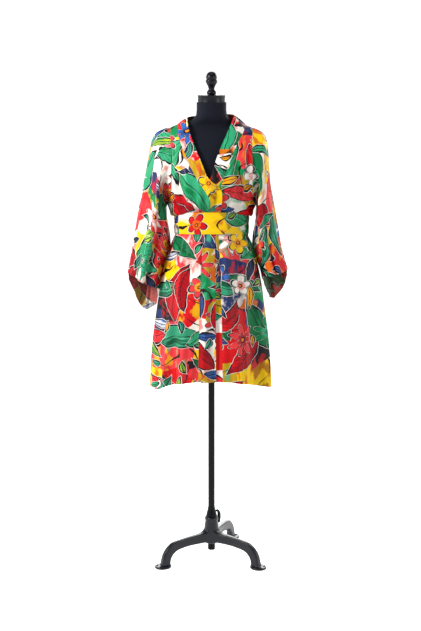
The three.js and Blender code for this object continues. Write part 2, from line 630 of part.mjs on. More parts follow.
function pad(bearing) {
  const outline = new THREE.Shape();
  outline.absellipse(0, 0, PAD.length - PAD.bevel, PAD.breadth - PAD.bevel, 0, 2 * Math.PI);
  const body = new THREE.ExtrudeGeometry(outline, {
    depth: PAD.thick - 2 * PAD.bevel, curveSegments: 14,
    bevelThickness: PAD.bevel, bevelSize: PAD.bevel, bevelSegments: 1,
  });
  return body.translate(PAD.centre, 0, PAD.bevel).rotateZ(deg(bearing));
}

// ---------------------------------------------------------------- collar and lock lever
const LEVER = { bearing: 38, radius: 3, height: 160 };
const BOSS = { radius: 5.5, from: 8, to: 17.5 };          // on the collar, where the lever screws in

// A rod along +X, from one distance to another, at the lever's height.
function boss() {
  const body = new THREE.CylinderGeometry(BOSS.radius, BOSS.radius, BOSS.to - BOSS.from, 20);
  return body.rotateZ(Math.PI / 2).translate((BOSS.from + BOSS.to) / 2, 0, LEVER.height)
    .rotateZ(deg(LEVER.bearing));
}

function collar() {
  const bore = turned([[0, 130], [BORE, 130], [BORE, 190], [0, 190]]);
  return fromManifold(toManifold(turned(COLLAR)).add(toManifold(boss())).subtract(toManifold(bore)));
}

// The lever's screw stands out of the boss, and its handle hooks over and hangs down.
function lever() {
  const route = [[BOSS.to + SEAM, 0], [21, 0], [25, 0.6], [31, -2.5], [35.5, -12], [36.5, -26], [34, -42]];
  const path = new THREE.CatmullRomCurve3(route.map(([out, up]) => (
    new THREE.Vector3(out, 0, LEVER.height + up))));
  const section = new THREE.Shape();
  section.absellipse(0, 0, LEVER.radius, LEVER.radius, 0, 2 * Math.PI);
  const arm = new THREE.ExtrudeGeometry(section, { steps: 12, curveSegments: 4, extrudePath: path });
  return arm.rotateZ(deg(LEVER.bearing));
}

// ---------------------------------------------------------------- the sash's knot and ends
const KNOT = { wide: 62, tall: 58, deep: 24, squareness: 0.72 };
function knotCentre() {
  const surface = sectionPoint(waistSize, 180, (sashFoot(180) + sashTop(180)) / 2, sashGrow(180));
  return surface.add(new THREE.Vector3(0, KNOT.deep / 2 + SEAM, 0));
}

function knot() {
  const centre = knotCentre();
  const body = new THREE.SphereGeometry(1, 16, 10);
  const position = body.attributes.position;
  for (let i = 0; i < position.count; i += 1) {
    const [x, y, z] = [position.getX(i), position.getY(i), position.getZ(i)].map((value) => (
      signedPower(value, KNOT.squareness)));
    position.setXYZ(i, (x * KNOT.wide) / 2, (y * KNOT.deep) / 2, (z * KNOT.tall) / 2);
  }
  return welded(body).translate(centre.x, centre.y, centre.z);
}

// The ends of the sash hang from the knot on the back of the skirt, the left one over the right.
const TAIL = { rows: 9, wide: 66, pinched: 20, from: 12, spread: 26 };
const TAILS = {
  right: { side: -1, length: 330, out: 7, rise: -SEAM },
  left: { side: 1, length: 300, out: 11.5, rise: 0.8 },
};

function sashTail({ side, length, out, rise }) {
  const from = knotCentre().z - KNOT.tall / 2 + rise;
  const grid = range(TAIL.rows + 1).map((j) => range(3).map((i) => {
    const share = 1 - j / TAIL.rows;
    const z = from - length * share;
    const wide = lerp(TAIL.pinched, TAIL.wide, smoothstep(share, 0, 0.25));
    const x = -(side * (TAIL.from + TAIL.spread * share) + (i - 1) * (wide / 2));
    const size = bodySize(z);
    const bearing = bearingAt(size, x, true);
    return sectionPoint(size, bearing, z, skirtFold(bearing, z) + out);
  }));
  return wall(grid, { thick: SASH.thick });
}

// ---------------------------------------------------------------- assembly
const finish = (colour, roughness, metalness = 0) => (
  new THREE.MeshStandardMaterial({ color: colour, roughness, metalness }));

const robe = new THREE.Group();
const stand = new THREE.Group();

function add(group, name, geometry, material) {
  const mesh = new THREE.Mesh(geometry, material);
  mesh.name = name;
  group.add(mesh);
}

// At a shoulder or side seam the edge of a wall stands square to the seam, along no Y.
const squareSeams = (sideColumns) => (normal, j, i) => {
  const atSide = sideColumns.includes(i) && j <= ARMPIT_ROW;
  if (j === LAST_ROW || atSide) normal.setY(0).normalize();
};
const squareEnds = (normal, j, i) => {
  if (i === 0 || i === NECK_BAND_COLUMNS) normal.setY(0).normalize();
};

const satin = (colour) => finish(colour, 0.42);
const RED = 0xd23a35;
const CRIMSON = 0xa81224;
const GREEN = 0x1f9a63;
const YELLOW = 0xf0b51e;

add(robe, 'back_panel', wall(backGrid(), { adjust: squareSeams([0, BACK_COLUMNS]) }), satin(RED));
add(robe, 'right_front', wall(frontGrid(-1, rightBand, true), { adjust: squareSeams([0]) }), satin(RED));
add(robe, 'left_front', wall(frontGrid(1, leftBand, false), { adjust: squareSeams([FRONT_COLUMNS]) }),
  satin(GREEN));
add(robe, 'right_band', wall(bandGrid(-1, rightBand, true), { adjust: squareSeams([]) }), satin(CRIMSON));
add(robe, 'left_band', wall(bandGrid(1, leftBand, false), { adjust: squareSeams([]) }), satin(CRIMSON));
add(robe, 'neck_band', wall(neckBandGrid(), { adjust: squareEnds }), satin(YELLOW));
add(robe, 'right_sleeve', sleeve(-1, RIGHT_SLEEVE), satin(GREEN));
add(robe, 'left_sleeve', sleeve(1, LEFT_SLEEVE), satin(RED));
add(robe, 'sash', sashBand(), satin(YELLOW));
add(robe, 'sash_knot', knot(), satin(YELLOW));
for (const [name, tail] of Object.entries(TAILS)) {
  add(robe, `sash_end_${name}`, sashTail(tail), satin(YELLOW));
}

const jersey = finish(0x17181c, 0.85);
const gloss = finish(0x0b0b0d, 0.22);
const castIron = finish(0x2b2d33, 0.5, 0.35);

add(stand, 'dress_form', dressForm(), jersey);
add(stand, 'neck_cap', turned(NECK_CAP), gloss);
add(stand, 'finial', turned(FINIAL, 24), gloss);
add(stand, 'pole', turned([[0, POLE.tip], [POLE.radius - 1.5, POLE.tip], [POLE.radius, POLE.tip + 2],
  [POLE.radius, POLE.top], [0, POLE.top]], 24), finish(0x141417, 0.35, 0.4));
add(stand, 'collar', collar(), castIron);
add(stand, 'hub', turned(HUB), castIron);
for (const [name, bearing] of Object.entries(LEGS)) {
  add(stand, `${name}_leg`, leg(bearing), castIron);
  add(stand, `${name}_pad`, pad(bearing), castIron);
}
add(stand, 'lock_lever', lever(), finish(0x0e0e10, 0.3, 0.4));

// The origin is on the floor below the middle of the object's box.
const part = new THREE.Group();
part.add(robe, stand);
const box = new THREE.Box3().setFromObject(part, true);
const centre = box.getCenter(new THREE.Vector3());
part.position.set(-centre.x, -centre.y, -box.min.z);
part.updateMatrixWorld(true);

export default part;
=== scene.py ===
# %% [markdown]
# # A belted kimono robe on its dress form
#
# This lesson dresses a fixed frame. The frame holds the sizes, the joints and plain solids of the
# robe and its stand. Here each solid gets the skin that is seen: thin cloth with folds, a painted
# flower and leaf print, stitched hems, black jersey, gloss and cast iron.
#
# Everything is in metres. The shape tables are in millimetres about the stand's pole, as a maker
# would measure a garment on a form, and one helper turns them into places in the frame.

# %% Load the frame
import math
from functools import partialmethod

import bpy
import numpy as np
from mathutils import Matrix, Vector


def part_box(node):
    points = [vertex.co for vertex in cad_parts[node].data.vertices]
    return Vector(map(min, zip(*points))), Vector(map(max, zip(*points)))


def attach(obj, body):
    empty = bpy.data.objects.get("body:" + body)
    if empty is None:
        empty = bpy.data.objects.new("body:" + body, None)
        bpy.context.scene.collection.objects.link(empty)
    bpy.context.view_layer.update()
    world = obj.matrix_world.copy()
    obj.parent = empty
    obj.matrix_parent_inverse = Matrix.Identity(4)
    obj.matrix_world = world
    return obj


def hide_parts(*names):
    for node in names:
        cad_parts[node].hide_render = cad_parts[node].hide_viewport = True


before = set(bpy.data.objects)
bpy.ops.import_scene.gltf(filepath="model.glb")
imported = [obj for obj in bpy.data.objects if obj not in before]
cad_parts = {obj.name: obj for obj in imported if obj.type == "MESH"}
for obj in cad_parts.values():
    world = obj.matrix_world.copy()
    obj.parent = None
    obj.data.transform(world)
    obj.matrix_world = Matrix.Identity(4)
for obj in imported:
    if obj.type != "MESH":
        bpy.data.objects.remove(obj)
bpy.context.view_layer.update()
pole_low, pole_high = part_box("pole")
POLE = np.array([(pole_low[0] + pole_high[0]) / 2, (pole_low[1] + pole_high[1]) / 2, 0.0])


def placed(points):
    """Points in millimetres about the pole, as places in the frame."""
    return np.asarray(points, float) / 1000 + POLE


def shown(name, data):
    """A new object in the scene, standing at the origin."""
    made = bpy.data.objects.new(name, data)
    bpy.context.scene.collection.objects.link(made)
    return made


def plain_mesh(name, points, faces):
    """A new object from points and faces."""
    mesh = bpy.data.meshes.new(name)
    mesh.from_pydata([tuple(p) for p in points], [], [tuple(f) for f in faces])
    mesh.validate()
    return shown(name, mesh)


def turns(count):
    """Angles once round, from 0, in radians."""
    return np.linspace(0, math.tau, count + 1)[:-1]


def ring_faces(count, around, looped=False):
    """Faces through rings of points, which close on themselves or on a tip point at each end."""
    i = np.arange(around)
    k = (i + 1) % around
    foot = np.arange(count if looped else count - 1)[:, None] * around
    top = (foot + around) % (count * around)
    faces = np.stack((foot + i, foot + k, top + k, top + i), -1).reshape(-1, 4).tolist()
    if not looped:
        tip, last = count * around, (count - 1) * around
        faces += np.stack((np.full(around, tip), k, i), -1).tolist()
        faces += np.stack((np.full(around, tip + 1), last + i, last + k), -1).tolist()
    return faces


print("frame:", len(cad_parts), "solids, pole at", POLE[:2].round(4))

# %% [markdown]
# ## Writing nodes
#
# Every finish, and the sky too, is a small tree of nodes. A helper keeps the writing short: it
# adds a node, sets it up, feeds its inputs and gives what flows out of it. That can then be added,
# multiplied and compared like any number, and each such sum is a node of its own.


# %% A helper for writing nodes
def paint(code):
    """A paint's hex code as the linear colour that nodes take."""
    parts = [int(code[i : i + 2], 16) / 255 for i in (0, 2, 4)]
    linear = [p / 12.92 if p <= 0.04045 else ((p + 0.055) / 1.055) ** 2.4 for p in parts]
    return (*linear, 1.0)


class Wire:
    """What flows out of a node. Sums with it are nodes: one number's, or a whole vector's."""

    def __init__(self, tree, socket):
        self.tree, self.socket = tree, socket

    def math(self, operation, *others):
        kind = "Math" if self.socket.type == "VALUE" else "VectorMath"
        return self.tree.node(kind, dict(enumerate((self, *others))), operation=operation)

    __add__ = partialmethod(math, "ADD")
    __sub__ = partialmethod(math, "SUBTRACT")
    __mul__ = partialmethod(math, "MULTIPLY")
    __truediv__ = partialmethod(math, "DIVIDE")
    __pow__ = partialmethod(math, "POWER")
    __abs__ = partialmethod(math, "ABSOLUTE")
    __lt__ = partialmethod(math, "LESS_THAN")  # 1 where it is true, else 0
    __gt__ = partialmethod(math, "GREATER_THAN")


class Tree:
    """A tree of nodes while it is being written."""

    def __init__(self, tree):
        self.tree = tree

    def feed(self, socket, value):
        if isinstance(value, Wire):
            self.tree.links.new(value.socket, socket)
        else:
            socket.default_value = value

    def node(self, kind, inputs=None, out=0, **settings):
        """Adds a node, and gives one of its outputs, or several for a tuple of names."""
        made = self.tree.nodes.new(kind if "Node" in kind else "ShaderNode" + kind)
        for name, value in settings.items():
            setattr(made, name, value)
        for key, value in (inputs or {}).items():
            self.feed(made.inputs[key], value)
        if isinstance(out, tuple):
            return [Wire(self, made.outputs[key]) for key in out]
        return Wire(self, made.outputs[out]) if made.outputs else None

    def ranged(self, value, low, high, to_low=0.0, to_high=1.0):
        """Stretches a value from one range to another, and keeps it there."""
        ends = {"From Min": low, "From Max": high, "To Min": to_low, "To Max": to_high}
        return self.node("MapRange", {"Value": value, **ends})

    def mix(self, share, low, high):
        return self.node("Mix", {0: share, 6: low, 7: high}, 2, data_type="RGBA")

    def noise(self, place, scale, detail=2.0, out=0):
        return self.node("TexNoise", {"Vector": place, "Scale": scale, "Detail": detail}, out)


print("node helper ready")


# %% A helper for finishes
class Finish(Tree):
    """A material while its nodes are being written."""

    def __init__(self, name, **numbers):
        self.material = bpy.data.materials.new(name)
        self.material.use_nodes = True
        super().__init__(self.material.node_tree)
        for socket, value in numbers.items():
            self.surface(socket.replace("_", " "), value)

    def surface(self, socket, value):
        self.feed(self.tree.nodes["Principled BSDF"].inputs[socket], value)

    def cut_place(self):
        """Each point's place in the flat cut of its cloth, in metres."""
        return self.node("UVMap", uv_map="Cut")

    def own_place(self):
        return self.node("TexCoord", out="Object")

    def raise_by(self, height, distance, strength=1.0):
        bump = {"Height": height, "Distance": distance, "Strength": strength}
        self.surface("Normal", self.node("Bump", bump))

    def wear(self, place, scale, low, high):
        """Lets the roughness drift between two values."""
        self.surface("Roughness", self.ranged(self.noise(place, scale), 0.0, 1.0, low, high))

    def paints(self, value, codes):
        """Picks one paint from a row of them by a number from 0 to 1."""
        ramp = self.tree.nodes.new("ShaderNodeValToRGB")
        stops = ramp.color_ramp
        stops.interpolation = "CONSTANT"
        stops.elements.remove(stops.elements[1])
        stops.elements[0].color = paint(codes[0])
        for i, code in enumerate(codes[1:], 1):
            stops.elements.new(i / len(codes)).color = paint(code)
        self.feed(ramp.inputs[0], value)
        return Wire(self, ramp.outputs[0])


print("finish helper ready")

# %% [markdown]
# ## The studio
#
# The robe stands in a white studio: a pale floor that runs out to a white sky. A floor that pale
# would throw its light up under everything and flatten the folds, so it gives no diffuse light,
# and the sky is dim overhead and below the floor.

# %% Floor
FLOOR = {"radius": 40.0, "sides": 48, "grey": (0.9, 0.9, 0.9, 1.0)}
FLOOR_GLOW = (0.3, 2.5, 0.8, 1.05)  # metres from the middle, and the strength at each

angle = turns(FLOOR["sides"])
corners = np.stack((np.cos(angle), np.sin(angle), 0 * angle), -1) * FLOOR["radius"]
floor = plain_mesh("floor", corners, [range(FLOOR["sides"])])
f = Finish("floor_paint", Base_Color=FLOOR["grey"], Roughness=0.85, Emission_Color=(1, 1, 1, 1))
away = f.node("VectorMath", {0: f.own_place()}, "Value", operation="LENGTH")
f.surface("Emission Strength", f.ranged(away, *FLOOR_GLOW))
floor.data.materials.append(f.material)
floor.visible_diffuse = False
print("floor:", FLOOR["radius"], "m to its edge")

# %% Sky
SKY_ABOVE = (0.13, 0.3, 1.03, 0.12)  # heights on the dome, and the strength at each
SKY_BELOW = (-0.12, -0.06, 0.15, 1.0)
BACK_IS_HIGHER = 0.3  # the dimming starts this much higher behind the robe

world = bpy.data.worlds.new("white_studio")
world.use_nodes = True
sky = Tree(world.node_tree)
back, height = sky.node("SeparateXYZ", {0: sky.node("TexCoord", out="Generated")}, ("Y", "Z"))
behind = sky.ranged(back, 0.0, 1.0, 0.0, BACK_IS_HIGHER)
glow = sky.ranged(height - behind, *SKY_ABOVE) * sky.ranged(height, *SKY_BELOW)
background = world.node_tree.nodes["Background"]
sky.feed(background.inputs["Strength"], glow)
sky.feed(background.inputs["Color"], (1, 1, 1, 1))
bpy.context.scene.world = world
bpy.context.scene.view_settings.view_transform = "Standard"
print("sky:", len(world.node_tree.nodes), "nodes")

# %% [markdown]
# ## The lamps
#
# The key light is soft and stands high at the viewer's left, with a weaker fill at the right, one
# lamp overhead and two behind. Two tall panels at the sides draw the bright edges on the gloss.
# The lamps are large because satin and gloss show what they mirror, and hidden from the camera.

# %% Lamps
LAMPS = (
    # name, place, looks at, width, height, watts
    ("key", (-2.7, -1.7, 2.7), (0.0, 0.0, 1.05), 0.7, 1.4, 172),
    ("fill", (3.0, -2.0, 1.9), (0.0, 0.0, 1.05), 1.2, 2.2, 56),
    ("overhead", (0.0, -0.2, 4.2), (0.0, 0.0, 0.0), 2.4, 2.4, 26),
    ("behind", (2.1, 2.5, 2.3), (0.0, 0.0, 0.9), 0.9, 1.6, 50),
    ("back_wall", (0.0, 3.4, 1.3), (0.0, 0.0, 1.1), 3.2, 1.5, 95),
    ("left_panel", (-2.4, 0.5, 1.5), (0.0, 0.0, 1.1), 0.6, 2.6, 14),
    ("right_panel", (2.4, 0.5, 1.5), (0.0, 0.0, 1.1), 0.6, 2.6, 14),
)


def aimed(place, target):
    """The turn of a lamp that stands at a place and looks at a target."""
    away = np.array(place) - np.array(target)
    return math.atan2(math.hypot(away[0], away[1]), away[2]), 0, math.atan2(away[0], -away[1])


for name, place, target, wide, tall, watts in LAMPS:
    lamp = bpy.data.lights.new(name, "AREA")
    lamp.shape = "RECTANGLE"
    lamp.size, lamp.size_y, lamp.energy = wide, tall, watts
    light = shown(name, lamp)
    light.location, light.rotation_euler = place, aimed(place, target)
    light.visible_camera = False
print("lamps:", len(LAMPS))

# %% [markdown]
# ## The camera
#
# The camera stands far off with a long lens, a little above the shoulders, and looks down about
# eleven degrees, so that the tops of the feet show. It is in front of the pole and isn't shifted.

# %% Camera
CAMERA = {"x": -0.0033, "away": 4.70, "height": 1.80, "down": 11.46, "lens": 82.0, "sensor": 36}
camera = shown("camera", bpy.data.cameras.new("camera"))
camera.location = (POLE[0] + CAMERA["x"], POLE[1] - CAMERA["away"], CAMERA["height"])
camera.rotation_euler = (math.radians(90 - CAMERA["down"]), 0, 0)
camera.data.lens, camera.data.sensor_width = CAMERA["lens"], CAMERA["sensor"]
bpy.context.scene.camera = camera
print("camera:", [round(c, 3) for c in camera.location])

# %% [markdown]
# ## The painted print
#
# The cloth carries a large, loose, hand-painted pattern of leaves and flowers on patches of
# colour. It could be drawn as a picture, but then it would have one size and one layout. Instead
# the cloth is split into uneven cells, each cell gets one motif, turned at random, and layers of
# motifs are painted over each other: large leaves, fans, broad and small leaves, flowers and tiny
# leaves. A motif's own distance from its outline decides where paint, ink and bare cloth go.

# %% Paints of the print
INK, WHITE = "0e0c12", "efe8de"
RED, CORAL, CRIMSON, ORANGE = "cc1018", "e0393e", "8a0819", "ee7d14"
YELLOW, MUSTARD, LIME = "f3c60c", "b99512", "b4c722"
EMERALD, DARK_GREEN, MINT = "0a8248", "084a30", "3fae82"
NAVY, BLUE = "23315f", "2f5fa8"

GROUND = (WHITE, YELLOW, EMERALD, RED, MUSTARD, NAVY, WHITE, CORAL, RED, EMERALD, WHITE, INK, YELLOW)
GROUND_WASH = (CORAL, RED, YELLOW, WHITE, MINT, RED, CRIMSON, ORANGE)
SASH_GROUND = (YELLOW, WHITE, YELLOW, EMERALD, WHITE, YELLOW, MUSTARD, CORAL)
LARGE_LEAVES = (RED, EMERALD, CORAL, EMERALD, CRIMSON, DARK_GREEN, EMERALD, RED, DARK_GREEN, RED)
LARGE_LIGHTS = (CRIMSON, MINT, RED, DARK_GREEN, RED, EMERALD, MINT, CORAL, MINT, CRIMSON)
SMALL_LEAVES = (EMERALD, NAVY, LIME, INK, BLUE, EMERALD, YELLOW, NAVY)
SMALL_LIGHTS = (LIME, BLUE, EMERALD, NAVY, WHITE, MINT, ORANGE, MINT)
PETALS = (CORAL, WHITE, RED, YELLOW, WHITE, CORAL)
PETAL_LIGHTS = (RED, CORAL, ORANGE, ORANGE, MUSTARD, YELLOW)
FANS = (EMERALD, BLUE, WHITE, CORAL, DARK_GREEN)
FAN_LIGHTS = (MINT, NAVY, CORAL, CRIMSON, MINT)
print("paints:", len(GROUND), "ground patches in turn")


# %% One motif over the cloth
JITTER = 0.8  # how uneven the cells are
BRUSH_SHAKE = 0.006  # how far the bare edge strays from the paint's edge, in metres
HALO, PEN = 0.0033, 0.0022  # widths of the bare edge and of the ink line, in metres


def scattered(f, place, cells, shift, rank):
    """Splits the cloth into cells: the way from each cell's middle, and its two chances."""
    moved = place + (shift, shift * 0.37, 0)
    cell = {"Vector": moved, "Scale": cells, "Randomness": JITTER}
    flat = {"voronoi_dimensions": "2D", "feature": rank}
    middle, colour = f.node("TexVoronoi", cell, ("Position", "Color"), **flat)
    turn, chance, tone = f.node("SeparateColor", {0: colour}, (0, 1, 2))
    away = {"Vector": moved - middle, "Angle": turn * math.tau}
    x, y = f.node("SeparateXYZ", {0: f.node("VectorRotate", away, rotation_type="Z_AXIS")}, (0, 1))
    return x, y, chance, tone


def painted(under, edge, present, colour, brush):
    """Lays one motif over what is under it: paint within its edge, ink on it, bare cloth outside."""
    f = edge.tree
    loose = brush * BRUSH_SHAKE - BRUSH_SHAKE / 2
    halo = (edge - loose < HALO) * present
    body = (edge < 0.0) * present
    line = (abs(edge + loose * 0.35) < (brush * 4.0 - 1.1) * PEN) * present
    result = f.mix(body, f.mix(halo, under, paint(WHITE)), colour)
    return f.mix(line, result, paint(INK))


print("motifs are laid with an ink line of", PEN * 1000, "mm")


# %% Leaves
LEAF_BEND, LEAF_TAPER = 1.6, 0.35  # how far the rib bends, and how much slimmer the tip is
VEINS = 5.2  # on half a leaf's length
RIB = 0.0010  # half its width, in metres


def leaf_layer(f, place, brush, under, paints, long, wide, cells, share, shift, rank="F1"):
    """Leaves: pointed ovals with a bent rib, slanting veins and two tones of paint."""
    along, side, chance, tone = scattered(f, place, cells, shift, rank)
    reach = along / long
    squared = reach * reach
    side = squared * ((tone - 0.5) * (wide * LEAF_BEND)) + side
    out = abs(side)
    edge = out - (squared * -1.0 + 1.0) * (reach * -LEAF_TAPER + 1.0) * wide
    stroke = f.noise(f.node("CombineXYZ", {0: along * 14.0, 1: side * 120.0}), 1.0)
    one_side = (stroke * 0.02 + side > 0.0105) * 0.55  # one half of the leaf is darker
    wash = f.ranged(stroke, 0.42, 0.66).math("MAXIMUM", one_side)
    colour = f.mix(wash, *(f.paints(tone, row) for row in paints))
    slant = ((out * -0.9 + along) * (VEINS / long)).math("FRACT")
    vein = (slant < 0.10) * (edge < -wide * 0.12) * (chance > share * 0.5)  # on half of the leaves
    rib = out < RIB
    colour = f.mix(vein.math("MAXIMUM", rib), colour, paint(INK))
    return painted(under, edge, chance < share, colour, brush)


print("leaves ready")


# %% Flowers and fans
EYE = ((0.20, INK), (0.11, ORANGE))  # shares of the flower's reach, from the outside in


def flower_layer(f, place, brush, under, paints, reach, petals, narrow, cells, share, shift):
    """Flowers and fans: petals round a dark eye. A higher narrow makes the petals slimmer."""
    x, y, chance, tone = scattered(f, place, cells, shift, "F1")
    out = (x * x + y * y).math("SQRT")
    turn = y.math("ARCTAN2", x)
    lobe = abs((turn * (petals / 2)).math("COSINE"))
    edge = out - (lobe**narrow * 0.72 + 0.28) * reach
    inner = out + brush * (reach * 0.4) < reach * 0.62
    spokes = (turn * (petals * 3)).math("SINE") * 0.25 + 0.6
    colour = f.mix(inner * spokes, *(f.paints(tone, row) for row in paints))
    parting = (lobe < 0.11) * (out < reach * 0.6)  # an ink line between two petals
    colour = f.mix(parting, colour, paint(INK))
    for size, code in EYE:
        colour = f.mix(out < reach * size, colour, paint(code))
    return painted(under, edge, chance < share, colour, brush)


print("flowers and fans ready")

# %% [markdown]
# ## The ground and the whole print
#
# The ground is a patchwork of plain colours with a second colour brushed over each patch, and
# loose ink lines drawn across it. The robe's print has more leaves, and the sash's more flowers.


# %% The ground
def painted_ground(f, place, brush, ground):
    """Patches of colour with strokes of a second colour and loose ink lines."""
    strayed = place + (f.noise(place, 9.0, out=1) - (0.5, 0.5, 0.5)) * (0.09, 0.09, 0)
    patch = f.node("TexVoronoi", {"Vector": strayed, "Scale": 12.0}, "Color", voronoi_dimensions="2D")
    first, second = f.node("SeparateColor", {0: patch}, (0, 1))
    strokes = f.noise(place * (1.0, 0.5, 1.0), 38.0)
    wash = f.ranged(strokes, 0.5, 0.6, 0.0, 0.7)
    colour = f.mix(wash, f.paints(first, ground), f.paints(second, GROUND_WASH))
    drawn = f.noise(place + (3.1, 1.7, 0.0), 7.0, detail=1.0)
    line = abs(drawn - 0.5) < (brush * 4.0 - 1.4) * 0.011
    return f.mix(line, colour, paint(INK))


print("ground ready")

# %% The whole print
LARGE = {"paints": (LARGE_LEAVES, LARGE_LIGHTS), "long": 0.098, "wide": 0.036, "cells": 6.2}
BROAD = {"paints": (LARGE_LEAVES[::-1], LARGE_LIGHTS[::-1]), "long": 0.072, "wide": 0.024, "cells": 6.6}
SMALL = {"paints": (SMALL_LEAVES, SMALL_LIGHTS), "long": 0.042, "wide": 0.0125, "cells": 9.4}
TINY = {"paints": (SMALL_LEAVES, SMALL_LIGHTS), "long": 0.020, "wide": 0.0085, "cells": 15.0}
FAN = {"paints": (FANS, FAN_LIGHTS), "reach": 0.052, "petals": 7, "narrow": 1.7, "cells": 6.3}
BLOOM = {"paints": (PETALS, PETAL_LIGHTS), "reach": 0.036, "petals": 5, "narrow": 0.55, "cells": 7.7}


def painted_print(f, cut, ground, leafy):
    """The print's colour at each place of the flat cut. leafy is the share of large leaves."""
    wobble = (f.noise(cut, 16.0, out=1) - (0.5, 0.5, 0.5)) * (0.022, 0.022, 0.0)
    place = cut + wobble
    brush = f.noise(place, 26.0)
    colour = painted_ground(f, place, brush, ground)
    for layer, motif in (
        (leaf_layer, {**LARGE, "share": leafy * 0.75, "shift": 0.31, "rank": "F2"}),
        (leaf_layer, {**LARGE, "share": leafy, "shift": 0.31}),
        (flower_layer, {**FAN, "share": 0.42, "shift": 0.83}),
        (leaf_layer, {**BROAD, "share": leafy * 0.65, "shift": 2.77}),
        (leaf_layer, {**SMALL, "share": 0.42, "shift": 1.27}),
        (flower_layer, {**BLOOM, "share": 1.2 - 0.8 * leafy, "shift": 1.71}),
        (leaf_layer, {**TINY, "share": 0.22, "shift": 2.13}),
    ):
        colour = layer(f, place, brush, colour, **motif)
    return colour


def printed_satin(name, ground, leafy=0.95, back=False):
    """Satin with the print. Its wrong side shows the print through, duller and browner, and lighter as
    painted light shining through the thin cloth.
    """
    f = Finish(name, Specular_IOR_Level=0.14)
    cut = f.cut_place()
    colour = painted_print(f, cut, ground, leafy)
    if back:
        # The wrong side: the print dulled with a grey-brown, and kept lighter than that as painted light
        # shining through the thin satin.
        colour = f.mix(0.26, colour, paint("a8968a"))
    f.surface("Base Color", colour)
    f.wear(cut, 9.0, *((0.6, 0.72) if back else (0.36, 0.50)))
    f.raise_by(f.noise(cut, 13.0, detail=3.0), 0.012, 0.5)
    return f.material


SATIN = printed_satin("printed_satin", GROUND)
SATIN_BACK = printed_satin("printed_satin_wrong_side", GROUND, back=True)
SASH_SATIN = printed_satin("sash_satin", SASH_GROUND, leafy=0.2)
print("print:", len(SATIN.node_tree.nodes), "nodes")

# %% [markdown]
# ## The robe's shape
#
# A belted robe hangs from the shoulders, blouses over its sash and flares to the hem. Its sections
# are rounded ovals whose half-width and depths change with the level, so the body can be made from
# a table of levels and a smooth curve through each column. The same tables gave the solids.


# %% Tables of levels
def table(text):
    """Columns of numbers by name, from a table whose first line has the names."""
    names, *rows = text.strip().splitlines()
    return dict(zip(names.split(), np.array([row.split() for row in rows], float).T))


BODY = table("""
    level wide front back middle
    560 204 146 152 0
    612 199 141 148 0
    681 193 136 144 0
    764 186 130 139 0
    860 177 124 134 0
    960 165 117 128 0
    1035 150 111 120 0
    1070 138 107 111 0
    1110 127 103 100 0
    1140 124 101 94 0
    1190 130 108 96 0
    1222 144 111 103 0
    1245 148 120 106 0
    1280 154 129 108 0
    1320 161 126 109 1
    1360 167 116 108 2
    1400 175 103 103 4
    1430 181 90 94 5
    1456 186 74 81 6
    1476 189 55 63 7
    1490 191 31 38 8
    1497 192 0 0 8
""")
ARMHOLE = table("""
    level x
    1222 144
    1245 136
    1280 132
    1320 130
    1400 130
    1456 132
    1497 134
""")
RIGHT_BAND = table("""
    level seam free stand
    560 -27 9 0
    1130 -26 10 0
    1207 -8 28 0
    1245 -4 33 0
    1280 -23 30 0
    1310 -43 -5 0
    1355 -68 -27 0
    1399 -86 -46 0
    1456 -105 -69 1
    1480 -111 -76 4
    1497 -112 -80 9
""")
LEFT_BAND = table("""
    level seam free stand
    560 23 -13 0
    1130 23 -13 0
    1207 8 -28 0
    1245 14 -24 0
    1302 34 -8 0
    1367 58 11 0
    1416 78 30 0
    1450 93 47 2
    1480 106 64 8
    1497 112 74 15
""")
print("body table:", len(BODY["level"]), "levels")


# %% Smooth curves through a table
def curve(rows, column, by="level"):
    """A smooth curve through one column, which never overshoots between two rows."""
    x, y = rows[by], rows[column]
    step = np.diff(y) / np.diff(x)
    before, after = step[:-1], step[1:]
    same_way = before * after > 0
    inner = np.where(same_way, 2 * before * after / np.where(same_way, before + after, 1), 0)
    slope = np.concatenate(([step[0]], inner, [step[-1]]))

    def value(at):
        i = np.clip(np.searchsorted(x, at, side="right") - 1, 0, len(x) - 2)
        span = x[i + 1] - x[i]
        t = np.clip((at - x[i]) / span, 0, 1)
        bend = (slope[i] * (1 - t) - slope[i + 1] * t) * span * t * (1 - t)
        return y[i] + (y[i + 1] - y[i]) * t * t * (3 - 2 * t) + bend

    return value


def curves(rows, by="level"):
    made = {name: curve(rows, name, by) for name in rows if name != by}
    return lambda at: {name: value(at) for name, value in made.items()}


body_size = curves(BODY)
armhole_x = curve(ARMHOLE, "x")
right_band = curves(RIGHT_BAND)
left_band = curves(LEFT_BAND)
print("waist half-width at the sash:", round(float(body_size(1160)["wide"]), 1), "mm")

# %% [markdown]
# ## Points of the body
#
# A bearing runs round the body from the front (0) over the wearer's left (90) to the back (180).
# The sash slopes down a little towards the back, the hem rises in front, and the right front laps
# over the left, so its surface steps outwards by a few millimetres where the two overlap.

# %% Sizes of the robe
ROUNDNESS = 2.3  # of the sections: 2 is an ellipse
SEAM = 0.12
TOP_LAYER = 3.6
RIDGE, RIDGE_Y = 1497, 8  # level and place of the shoulder seam
SHOULDER = {"flat": 70, "slope": 0.42}  # it falls away beyond this far from the middle
NECK_SEAM_X = 112
ARMPIT = 1222
WAIST = {"wide": 121, "front": 99, "back": 89, "middle": 0}
HEM = {"level": 612, "front": 40, "back": -24, "corner": 10, "corner_at": -62, "corner_wide": 13}
